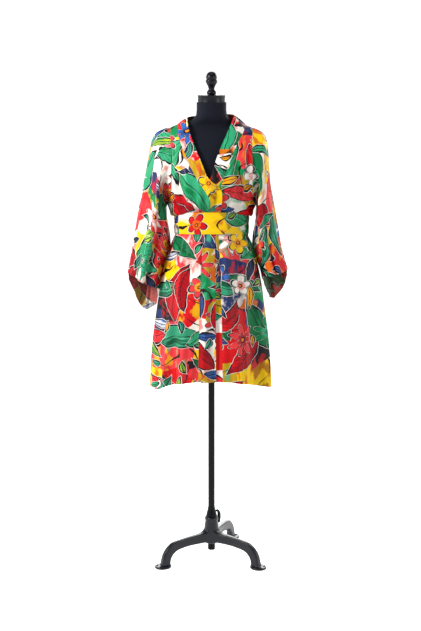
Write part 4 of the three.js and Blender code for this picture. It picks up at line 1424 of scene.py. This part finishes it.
def sleeve_folds(share, turn, folds):
    out = np.zeros((len(share), len(turn)))
    along = share[:, None]
    for turn0, turn1, start, end, wide, height in zip(*folds.values()):
        t = (along - start) / (end - start)
        line = mixed(turn0, turn1, np.clip(t, 0, 1))
        out += height * bump(short_way(turn[None, :] - line), wide) * between(t, *SLEEVE_ENDS)
    for crests, start, lean, height in zip(*SLEEVE_DRAPE.values()):
        wave = np.cos(np.radians(crests * turn[None, :]) + start + lean * along)
        out += crested(wave) * height * ease(along, *DRAPE_FROM)
    return out


for side, name, rows in ((-1, "right", RIGHT_SLEEVE), (1, "left", LEFT_SLEEVE)):
    base, share, turn = sleeve_rings(side, rows)
    cut = laid_flat(joined(base), 0)
    out = sleeve_folds(share, turn, SLEEVE_FOLDS[name])
    out[-CUFF_ROWS:] += HEM_RISE
    out[:2] -= ARMHOLE_DIP
    surface = moved_out(base, out, closed=True, outside=side)
    robe_piece(f"{name}_sleeve", surface, cut, closed=True, outside=side)
    stitch_along(surface, (-CUFF_ROWS, np.r_[0 : len(turn), 0]), closed=True, outside=side)

# %% [markdown]
# ## The sash
#
# The sash is a flat band, hemmed along both edges, drawn round the waist over both fronts and
# tied behind. Pulled cloth creases along its length, so its folds run round the waist.

# %% Sash
SASH_TURNS, SASH_HEIGHTS = 240, spread(9, SASH["tall"])
SASH_CREASES = table("""
    from_bearing to_bearing height0 height1 wide out
    -112 -34 0.26 0.44 0.06 2.4
    -96 -8 0.74 0.58 0.06 2
    -60 26 0.12 0.3 0.05 -1.6
    4 62 0.66 0.84 0.05 -1.6
    14 96 0.46 0.28 0.07 2.4
    38 118 0.78 0.7 0.06 2
    108 172 0.3 0.5 0.06 2.6
    120 174 0.76 0.58 0.06 2.4
    186 252 0.5 0.28 0.06 2.6
    188 246 0.62 0.78 0.06 2.4
""")


LAP_TO = (16, 30)  # bearings between which the laps under the sash end
CREASE_ENDS = (0, 0.3, 0.7, 1)  # shares of its length where a crease rises and sinks


def sash_grow(bearing):
    away = short_way(bearing)
    return lap_step(away) * (1 - ease(away, *LAP_TO)) + SASH["clear"] + SASH["thick"]


bearing = (180 + 360 * np.arange(SASH_TURNS) / SASH_TURNS) % 360  # its ends meet under the knot
levels = mixed(sash_foot(bearing), sash_top(bearing) - 0.5, SASH_HEIGHTS[:, None])
base = section(WAIST, np.broadcast_to(bearing, levels.shape), levels, sash_grow(bearing))
cut = laid_flat(joined(base), 0)[..., ::-1]
out = np.zeros(levels.shape)
for start, end, low, high, wide, height in zip(*SASH_CREASES.values()):
    t = ((short_way(bearing) if start < 0 else bearing) - start) / (end - start)
    line = mixed(low, high, np.clip(t, 0, 1))
    out += height * bump(SASH_HEIGHTS[:, None] - line, wide) * between(t, *CREASE_ENDS)
surface = moved_out(base, out, closed=True)
sash_look = {"finishes": (SASH_SATIN, SASH_SATIN), "thick": SASH["thick"]}
robe_piece("sash", surface, cut, "stretched", closed=True, **sash_look)
CLOTHS["sash"]["size"][0] = (SASH["tall"] + 2) / 1000  # it is cut as a straight band
for row in (3, -4):
    stitch_along(surface, (row, np.r_[0:SASH_TURNS, 0]), SASH["thread"], closed=True)

# %% [markdown]
# ## The knot and the ends of the sash
#
# The knot is the sash folded over itself, a soft square pillow that narrows a little towards its
# foot, with pleats down its outer face. The two ends hang from it down the back of the skirt,
# pinched at the top.

# %% Knot
KNOT = {"wide": 62, "tall": 58, "deep": 24, "squareness": 0.66, "narrows": 0.16}
KNOT_RINGS, KNOT_AROUND = 41, 96
OUTER_FACE = (1.2, 2.0)  # radians from its inner face, where the pleats rise
KNOT_CUT = {"place": (0.7, 0.3), "reach": 0.031, "size": (0.066, 0.068), "area": 0.0043}  # metres
# Lines down the outer face: where they cross its middle, their lean, how wide and deep they are.
KNOT_PLEATS = table("""
    x0 lean wide deep
    -19 -0.3 2.6 4.2
    -7 -0.16 2.2 3
    5 0.06 3 4.8
    17 0.26 2.4 3.6
""")
knot_middle = section(WAIST, 180.0, (sash_foot(180) + sash_top(180)) / 2, sash_grow(180.0))
knot_middle = knot_middle + (0, KNOT["deep"] / 2 + SEAM, 0)
polar = np.linspace(0, math.pi, KNOT_RINGS)[1:-1, None]
round_it = turns(KNOT_AROUND)
across, up = np.sin(polar) * np.sin(round_it), np.sin(polar) * np.cos(round_it)
ball = np.stack((across, -np.cos(polar) + 0 * round_it, up), -1)
half = np.array((KNOT["wide"], KNOT["deep"], KNOT["tall"])) / 2
shaped = signed_power(ball, KNOT["squareness"]) * half
pleats = np.zeros(shaped.shape[:2])
for x0, lean, wide, deep in zip(*KNOT_PLEATS.values()):
    away = shaped[..., 0] - x0 - lean * shaped[..., 2]
    pleats += deep * bump(away, wide) * ease(polar, *OUTER_FACE)
shaped[..., 0] *= 1 - KNOT["narrows"] * ease(-shaped[..., 2], -10, KNOT["tall"] / 2)
shaped[..., 1] -= pleats
tips = ((0, -half[1], 0), (0, half[1], 0))
vertices = np.concatenate((shaped.reshape(-1, 3), tips)) + knot_middle
faces = ring_faces(*shaped.shape[:2])
faces = [(face[0], *face[:0:-1]) for face in faces]  # the rings turn the other way here
knot = plain_mesh("robe_sash_knot", placed(vertices), faces)
reach = (math.pi - polar) * KNOT_CUT["reach"]
on_cut = np.stack((reach * np.sin(round_it), reach * np.cos(round_it)), -1).reshape(-1, 2)
on_cut = np.concatenate((on_cut, [(0, KNOT_CUT["reach"] * math.pi), (0, 0)])) + KNOT_CUT["place"]
knot_map = knot.data.uv_layers.new(name="Cut")
for loop in knot.data.loops:
    knot_map.data[loop.index].uv = on_cut[loop.vertex_index]
knot.data.materials.append(SASH_SATIN)
knot.data.shade_smooth()
CLOTHS["sash_knot"] = {
    "piece": knot, "size": np.array(KNOT_CUT["size"]), "area": KNOT_CUT["area"],
    "held": "folded", "on": "sash",
}
print("knot:", len(knot.data.polygons), "faces")

# %% Ends of the sash
TAIL = {"wide": 66, "pinched": 20, "opens": 0.25, "from": 12, "spread": 26}
TAIL_RIPPLE = {"high": 2.2, "waves": 4.1, "lean": 2.0, "fades": 0.55, "rises": (0.02, 0.15)}
TAILS = (("right", -1, 336, 7.0, 6.0), ("left", 1, 306, 11.5, 6.0))  # name, side, long, out, rise
tail_shares = spread(9, TAIL["wide"])
for name, side, long, out, rise in TAILS:
    start = knot_middle[2] - KNOT["tall"] / 2 + rise
    down = (1 - spread(52, long, (1.0, 4.0, 9.0, 11.0, 14.0)))[:, None]
    level = start - long * down
    wide = mixed(TAIL["pinched"], TAIL["wide"], ease(down, 0, TAIL["opens"]))
    across = tail_shares[None, :] * 2 - 1
    x = -(side * (TAIL["from"] + TAIL["spread"] * down) + across * wide / 2)
    size = body_size(level)
    bearing = bearing_at(size, x, behind=True)
    wave = np.cos(TAIL_RIPPLE["waves"] * across + side + TAIL_RIPPLE["lean"] * down)
    fade = (1 - TAIL_RIPPLE["fades"] * down) * ease(down, *TAIL_RIPPLE["rises"])
    ripple = TAIL_RIPPLE["high"] * wave * fade
    base = section(size, bearing, level, skirt_fold(bearing, level) + out)
    surface = moved_out(base, ripple)
    robe_piece(f"sash_end_{name}", surface, laid_flat(base, 8), on="sash_knot", **sash_look)
    for where in (np.s_[2:-2, 3], np.s_[2:-2, -4], np.s_[3, 3:-3]):
        stitch_along(surface, where, SASH["thread"])
print("cloth pieces:", len(CLOTHS))

# %% [markdown]
# ## Turned and lofted pieces
#
# The stand's parts are turned on a lathe, cast, or stretched over a form. All of them can be made
# as a skin through rings of points. A profile's corners are rounded first, because a real edge
# always catches a thin line of light.


# %% Skins through rings
AROUND = 96  # points round a ring, where nothing else is asked for
MOST = 0.48  # of a side that a rounded corner may take, so that two never meet
SHARP_SKIN = 50  # degrees


def skin(name, rings, finish, looped=False):
    """A closed skin through rings, from foot to top. A looped one closes on itself like a tube."""
    points = rings.reshape(-1, 3)
    if not looped:
        points = np.concatenate((points, [rings[0].mean(0), rings[-1].mean(0)]))
    made = plain_mesh(name, placed(points), ring_faces(*rings.shape[:2], looped))
    made.data.materials.append(finish)
    made.data.shade_smooth()
    made.data.set_sharp_from_angle(angle=math.radians(SHARP_SKIN))
    return made


def rounded(profile, limit, steps=6):
    """A profile with its corners rounded, from up to limit before each to limit after it."""
    points = np.array(profile, float)
    made = [points[0]]
    t = np.linspace(0, 1, steps)[:, None]
    for before, corner, after in zip(points, points[1:], points[2:]):
        back, on = before - corner, after - corner
        start = corner + back * min(limit / np.linalg.norm(back), MOST)
        end = corner + on * min(limit / np.linalg.norm(on), MOST)
        made += list(start * (1 - t) ** 2 + 2 * corner * t * (1 - t) + end * t**2)
    return np.array([*made, points[-1]])


def turned(profile, around=AROUND):
    """Rings turned about the pole from pairs of radius and height."""
    angle = turns(around)
    radius, level = np.array(profile, float).T[..., None]
    return np.stack((radius * np.cos(angle), radius * np.sin(angle), level + 0 * angle), -1)


print("skin helpers ready")

# %% [markdown]
# ## Finishes of the stand
#
# The form is a filled shell under black jersey, whose fine knit takes the light without a shine.
# Its neck cap and finial are turned wood under black gloss. The pole is enamelled tube. The base is
# cast iron with a semi-gloss paint, and keeps the slight unevenness of the sand it was cast in.

# %% Jersey, gloss, enamel and cast iron
def drifting(name, low, high, scale, detail=2.0, **numbers):
    """A finish whose colour drifts between two paints, and the place it is painted on."""
    f = Finish(name, **numbers)
    place = f.own_place()
    f.surface("Base Color", f.mix(f.noise(place, scale, detail), paint(low), paint(high)))
    return f, place


KNIT = {"Sheen_Weight": 0.04, "Sheen_Roughness": 0.45, "Specular_IOR_Level": 0.13}
jersey, here = drifting("form_jersey", "090b15", "10131f", 7.0, 3.0, **KNIT)
rows_across, rows_up = [
    jersey.node("TexWave", {"Vector": here, "Scale": scale}, 1, bands_direction=way)
    for scale, way in ((180.0, "X"), (140.0, "Z"))
]
jersey.raise_by(rows_across * rows_up, 0.0002, 0.25)
jersey.wear(here, 20.0, 0.72, 0.86)

LACQUER = {"Coat_Weight": 0.08, "Coat_Roughness": 0.25, "Specular_IOR_Level": 0.14}
gloss, here = drifting("black_gloss", "050508", "0e0f17", 30.0, **LACQUER)
gloss.wear(here, 40.0, 0.32, 0.44)
gloss.raise_by(gloss.noise(here, 90.0), 0.0004, 0.2)

enamel, here = drifting("pole_enamel", "060709", "0e0f13", 25.0, Specular_IOR_Level=0.1)
enamel.wear(here, 60.0, 0.26, 0.4)

iron, here = drifting("cast_iron", "06070d", "0e111c", 18.0, 4.0, Specular_IOR_Level=0.27)
iron.wear(here, 35.0, 0.24, 0.36)
iron.raise_by(iron.noise(here, 220.0, 3.0), 0.0006, 0.5)

thread, _ = drifting("stitch_thread", "8f4a44", "b8766a", 12.0, Roughness=0.6)
print("stand finishes ready")

# %% [markdown]
# ## The dress form
#
# The form has the body's rounded sections, drawn in at the waist and out at the bust, and a neck
# that runs up to a wooden cap. It is made from its table as one smooth skin, with a socket in its
# flat base for the pole.

# %% Form
FORM = table("""
    level wide front back middle
    800 146 86 96 0
    808 152 91 102 0
    860 156 97 110 0
    930 156 100 113 0
    1000 146 98 108 0
    1060 127 92 98 0
    1110 114 87 84 0
    1160 109 86 78 0
    1210 120 98 86 0
    1260 134 110 95 0
    1300 142 117 100 1
    1340 150 108 101 2
    1380 157 95 97 3
    1410 159 85 89 4
    1436 154 70 77 5
    1455 142 55 63 6
    1466 127 44 53 6
    1473 112 38 47 6
    1481 93 38 47 5
    1490 72 41 47 3
    1500 58 46 48 1
    1514 50 49 49 0
    1532 48.5 48.5 48.5 0
    1551.5 48.5 48.5 48.5 0
""")
SOCKET = {"radius": 12.1, "end": 906.4}
form_size = curves(FORM)
form_turns = np.linspace(0, 360, AROUND + 1)[:-1]
steps = [np.linspace(a, b, 6) for a, b in zip(FORM["level"], FORM["level"][1:])]
form_levels = np.unique(np.concatenate(steps))
form_rings = [section(form_size(level), form_turns, level) for level in form_levels]
mouth = turned([(SOCKET["radius"], SOCKET["end"]), (SOCKET["radius"], FORM["level"][0])])
mouth = np.roll(mouth, AROUND // 4, axis=1)  # from its start at +X to the form's at the front
form = skin("form", np.array([*mouth, *form_rings]), jersey.material)
print("form:", len(form.data.polygons), "faces")

# %% Neck cap and finial
NECK_CAP = [
    (44.8, 1551.8), (45.3, 1553), (44.9, 1562), (45.3, 1569), (46.2, 1574), (45.4, 1575.2),
    (12, 1575.4),
]
FINIAL = [
    (11.5, 1575.8), (14.8, 1578.6), (16, 1583), (14.6, 1587.6), (10.8, 1591), (9.5, 1594), (10.2, 1598),
    (13.3, 1605), (16.9, 1611), (18.8, 1616), (19.3, 1620), (18.3, 1623.4), (16.2, 1625.2), (17.6, 1627),
    (18.5, 1630), (18.1, 1635), (16.2, 1640.5), (12.7, 1645.5), (7.7, 1648.8), (1.5, 1650),
]
neck_cap = skin("cap_of_the_neck", turned(rounded(NECK_CAP, 0.9)), gloss.material)
finial = skin("acorn_finial", turned(rounded(FINIAL, 3.0), 64), gloss.material)
print("neck cap:", len(neck_cap.data.polygons), "faces")
print("finial:", len(finial.data.polygons), "faces")

# %% [markdown]
# ## Pole, collar and lock lever
#
# The pole slides in the hub. A collar holds it, and is clamped by a bent lever whose screw runs
# through a boss. The lever is one rod, bent hot, with rounded ends.

# %% Pole, collar and lever
# Profiles are pairs of radius and height, and the lever's route pairs of out and up.
POLE_TUBE = [
    (9.5, 25), (11.6, 25.4), (12.7, 27.5), (12.7, 60), (11.5, 62), (11.5, 904), (10.5, 905), (3, 905),
]
COLLAR = [(12, 145.3), (18.4, 145.3), (18.7, 149), (16.6, 158), (13.8, 168), (12.3, 178), (12, 178)]
LEVER = {"bearing": 38, "level": 160}
BOSS_OUT = (12.4, 13, 16.5, 17.3, 17.5)
BOSS_RADII = (5.5, 5.5, 5.5, 5, 4)
LEVER_ROUTE = [(17.8, 0), (21, 0), (24.5, 0.2), (29.5, -3.6), (32.8, -12.5), (33.9, -27), (32, -47)]
LEVER_RADII = ((0, 0.18, 0.45, 0.75, 1), (3.6, 4.6, 6.3, 5.6, 3.6))  # shares of its length, radii
LEVER_RINGS, LEVER_TIP = 60, 8  # rings along it, and of them in each rounded end


def swung(bearing, out, across, level):
    """Points from the pole out along a bearing, which turns from +X, and across it."""
    turn = math.radians(bearing)
    x = out * math.cos(turn) - across * math.sin(turn)
    y = out * math.sin(turn) + across * math.cos(turn)
    return np.stack(np.broadcast_arrays(x, y, level), -1)


def rod(route, radii, around=24):
    """Rings along a route in the plane of out and up, turned to the lever's bearing."""
    route = np.array(route, float)
    ahead = np.gradient(route, axis=0)
    ahead /= np.linalg.norm(ahead, axis=1, keepdims=True)
    angle = turns(around)
    radii = np.array(radii, float)[:, None]
    lift = radii * np.sin(angle)
    out = route[:, :1] - ahead[:, 1:] * lift
    level = route[:, 1:] + ahead[:, :1] * lift + LEVER["level"]
    return swung(LEVER["bearing"], out, -radii * np.cos(angle), level)


def smooth_route(points, count):
    """Evenly spread points on a smooth curve through a few."""
    points = np.array(points, float)
    at = np.concatenate(([0], np.cumsum(np.linalg.norm(np.diff(points, axis=0), axis=1))))
    rows = {"at": at, "x": points[:, 0], "y": points[:, 1]}
    along = np.linspace(0, at[-1], count)
    return np.stack((curve(rows, "x", "at")(along), curve(rows, "y", "at")(along)), -1)


pole = skin("sliding_pole", turned(rounded(POLE_TUBE, 1.0), 48), enamel.material)
collar = skin("clamp_collar", turned(rounded(COLLAR, 1.5)), enamel.material, looped=True)
boss = skin("clamp_boss", rod([(out, 0) for out in BOSS_OUT], BOSS_RADII), enamel.material)
share = np.linspace(0, 1, LEVER_TIP)
tip = np.sqrt(np.clip(share * (2 - share), 0.02, 1))
whole = np.concatenate((tip, np.ones(LEVER_RINGS - 2 * LEVER_TIP), tip[::-1]))
radii = np.interp(np.linspace(0, 1, LEVER_RINGS), *LEVER_RADII) * whole
lever = skin("bent_lever", rod(smooth_route(LEVER_ROUTE, LEVER_RINGS), radii), gloss.material)
print("pole, collar, boss and lever made")

# %% [markdown]
# ## The cast base
#
# Hub, legs and pads are one casting. They are made here as separate forms that overlap, then
# remeshed into one skin and smoothed, which leaves the soft inner corners of a real casting.

# %% Casting
HUB = [
    (13, 52), (24, 52), (28, 56), (28.5, 66), (27.4, 84), (25.6, 100), (23.2, 120), (21.8, 132),
    (23, 134), (23, 142), (21.4, 145), (13, 145),
]
LEG_BEARINGS = (213, 324, 68)  # from +X: right, left and rear
LEG_TOP = [
    (16, 112), (28, 97), (44, 91), (80, 88.5), (112, 86), (154, 80.5), (181, 62), (195, 40), (202, 8),
]
LEG_UNDER = [
    (16, 56), (28, 57), (44, 57), (80, 57), (112, 55), (138, 51), (157, 40), (167, 25), (171, 3),
]
LEG_WIDTHS = [34, 27, 21, 18.5, 18, 18.5, 19.5, 21.5, 25]
LEG_STEPS = 40
LEG_SQUARENESS = 0.35
PAD = {"length": 29, "breadth": 26, "thick": 8, "centre": 195}
PAD_LEVELS = (0, 0.3, 1.2, 6.3, 7.5, PAD["thick"])
PAD_INSETS = (1.4, 0.7, 0, 0, 0.8, 2.2)
CASTING_GRAIN = 0.0016  # in metres, the only size here that isn't in millimetres
ROUND = turns(64)  # once round a leg or a pad


def leg_rings(bearing):
    top, under = smooth_route(LEG_TOP, LEG_STEPS), smooth_route(LEG_UNDER, LEG_STEPS)
    at = np.linspace(0, len(LEG_WIDTHS) - 1, LEG_STEPS)
    widths = np.interp(at, np.arange(len(LEG_WIDTHS)), LEG_WIDTHS)[:, None]
    up = signed_power(np.sin(ROUND), LEG_SQUARENESS)
    middle, half = (top + under) / 2, (top - under) / 2
    out, level = [middle[:, k : k + 1] + half[:, k : k + 1] * up for k in (0, 1)]
    across = -widths / 2 * signed_power(np.cos(ROUND), LEG_SQUARENESS)
    return swung(bearing, out, across, level)


def pad_rings(bearing):
    inset = np.array(PAD_INSETS)[:, None]
    out = PAD["centre"] + (PAD["length"] - inset) * np.cos(ROUND)
    across = (PAD["breadth"] - inset) * np.sin(ROUND)
    return swung(bearing, out, across, np.array(PAD_LEVELS)[:, None])


def plain_copy(name, source):
    """A new object with the mesh that another one's modifiers make."""
    bpy.context.view_layer.update()
    made = source.evaluated_get(bpy.context.evaluated_depsgraph_get())
    mesh = bpy.data.meshes.new_from_object(made)
    mesh.name = name
    return shown(name, mesh)


lumps = [skin("lump", turned(HUB, 64), iron.material, looped=True)]
for bearing in LEG_BEARINGS:
    lumps += [skin("lump", rings(bearing), iron.material) for rings in (leg_rings, pad_rings)]
chosen = {"active_object": lumps[0], "selected_objects": lumps, "selected_editable_objects": lumps}
with bpy.context.temp_override(**chosen):
    bpy.ops.object.join()
grains = lumps[0].modifiers.new("grains", "REMESH")
grains.mode = "VOXEL"
grains.voxel_size = CASTING_GRAIN
soften = lumps[0].modifiers.new("soften", "SMOOTH")
soften.factor, soften.iterations = 0.5, 3
casting = plain_copy("cast_base", lumps[0])
bpy.data.objects.remove(lumps[0])
casting.data.materials.clear()
casting.data.materials.append(iron.material)
casting.data.shade_smooth()
print("casting:", len(casting.data.polygons), "faces")

# %% [markdown]
# ## Stitches and screws
#
# Rows of stitches hold the hems, the bands and the sash, four millimetres apart. Each pad is held
# down by screws. Both are one small shape repeated many times, so a small tree of nodes walks
# along the drawn lines, sets a copy at each step, and makes the copies real.


# %% A tree that repeats a shape along lines
# The tree's inputs and their kinds, and the range and seed of the copies' sizes.
SOCKETS = {"Lines": "Geometry", "Shape": "Object", "Pitch": "Float", "Finish": "Material"}
UNEVEN = {"Min": 0.85, "Max": 1.12, "Seed": 7}


def repeating_tree():
    tree = Tree(bpy.data.node_groups.new("repeat_along", "GeometryNodeTree"))
    add = tree.tree.interface.new_socket
    for name, kind in SOCKETS.items():
        add(name, in_out="INPUT", socket_type="NodeSocket" + kind)
    add("Copies", in_out="OUTPUT", socket_type="NodeSocketGeometry")
    lines, shape, pitch, finish = tree.node("NodeGroupInput", out=tuple(SOCKETS))
    drawn = tree.node("GeometryNodeMeshToCurve", {"Mesh": lines})
    steps = tree.node("GeometryNodeResampleCurve", {"Curve": drawn, "Length": pitch}, mode="LENGTH")
    one = tree.node("GeometryNodeObjectInfo", {"Object": shape}, "Geometry")
    ahead = tree.node("GeometryNodeInputTangent")
    turn = tree.node("FunctionNodeAlignRotationToVector", {"Vector": ahead}, axis="X")
    uneven = tree.node("FunctionNodeRandomValue", UNEVEN, "Value", data_type="FLOAT")
    copies = tree.node(
        "GeometryNodeInstanceOnPoints",
        {"Points": steps, "Instance": one, "Rotation": turn, "Scale": uneven},
    )
    real = tree.node("GeometryNodeRealizeInstances", {"Geometry": copies})
    done = tree.node("GeometryNodeSetMaterial", {"Geometry": real, "Material": finish})
    tree.node("NodeGroupOutput", {"Copies": done})
    return tree.tree


def repeated(name, lines, shape, pitch, finish):
    """Copies of a shape along drawn lines, as one plain mesh."""
    edges, start = [], 0
    for line in lines:
        edges += [(start + i, start + i + 1) for i in range(len(line) - 1)]
        start += len(line)
    drawn = bpy.data.meshes.new(name + "_lines")
    drawn.from_pydata(placed(np.concatenate(lines)).tolist(), edges, [])
    holder = shown(drawn.name, drawn)
    walk = holder.modifiers.new("walk", "NODES")
    walk.node_group = REPEAT
    sockets = {s.name: s.identifier for s in REPEAT.interface.items_tree if s.in_out == "INPUT"}
    walk[sockets["Shape"]] = shape
    walk[sockets["Pitch"]] = pitch
    walk[sockets["Finish"]] = finish
    made = plain_copy(name, holder)
    made.data.shade_smooth()
    for used in (holder, shape):
        bpy.data.objects.remove(used)
    print(f"{name}: {len(made.data.polygons)} faces")
    return made


REPEAT = repeating_tree()
print("tree:", len(REPEAT.nodes), "nodes")


# %% Stitches and pad screws
def bead(name, length, width, high, around=6):
    """A small rounded shape about the origin, in metres."""
    points = [
        (at, wide * math.cos(turn), wide * math.sin(turn))
        for at, wide in ((-0.8, 0.55), (0, 1), (0.8, 0.55))
        for turn in turns(around)
    ]
    points += [(-1, 0, 0), (1, 0, 0)]
    size = np.array((length, width, high)) / 2
    return plain_mesh(name, points * size, ring_faces(3, around))


STITCH = {"length": 0.0026, "width": 0.0007, "high": 0.0005}  # metres, as the copies are
SCREW = {"length": 0.0085, "width": 0.0085, "high": 0.004, "around": 16}
STITCH_PITCH, SCREW_PITCH = 0.004, 0.01
stitch = bead("stitch", **STITCH)
stitches = repeated("stitches", STITCH_LINES, stitch, STITCH_PITCH, thread.material)

SCREW_PLACES = ((-19, 0), (17, 10), (17, -10))  # on a pad: out along the leg, and across it
SCREW_LEVEL = PAD["thick"] + 0.2
SCREW_LINE = (0.4, 0, 0)  # shorter than the pitch, so each line holds one screw
screw_lines = []
for bearing in LEG_BEARINGS:
    for out, across in SCREW_PLACES:
        place = swung(bearing, PAD["centre"] + out, across, SCREW_LEVEL)
        screw_lines.append(np.array([place, place + SCREW_LINE]))
screw = bead("screw", **SCREW)
screws = repeated("pad_screws", screw_lines, screw, SCREW_PITCH, iron.material)

# %% [markdown]
# ## Riding on the frame
#
# Each finished piece stands for its solids and rides on their body: the robe and the form turn
# and rise together, the pole slides in the base, and the lever turns on its screw. Every cloth
# piece keeps, in a table, how large it was cut and how it is held.

# %% Pieces, bodies and slots
PIECES = (
    # piece, body, slot, solids that it stands for
    (form, "form", "form_jersey", ("dress_form",)),
    (neck_cap, "form", "black_gloss", ("neck_cap",)),
    (finial, "form", "black_gloss", ("finial",)),
    (pole, "mast", "pole_enamel", ("pole",)),
    (collar, "base", "cast_iron", ("collar",)),
    (boss, "base", "cast_iron", ("collar",)),
    (casting, "base", "cast_iron",
     ("hub", "right_leg", "left_leg", "rear_leg", "right_pad", "left_pad", "rear_pad")),
    (screws, "base", "cast_iron", ()),
    (lever, "lever", "lever_steel", ("lock_lever",)),
    (stitches, "form", "printed_satin", ()),
)
for piece, body, slot, solids in PIECES:
    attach(piece, body)
    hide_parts(*solids)
for name, cloth in CLOTHS.items():
    piece = cloth["piece"]
    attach(piece, "form")
    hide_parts(name)
    size = [round(float(side), 3) for side in cloth["size"]]
print("riding:", len(PIECES) + len(CLOTHS), "pieces")
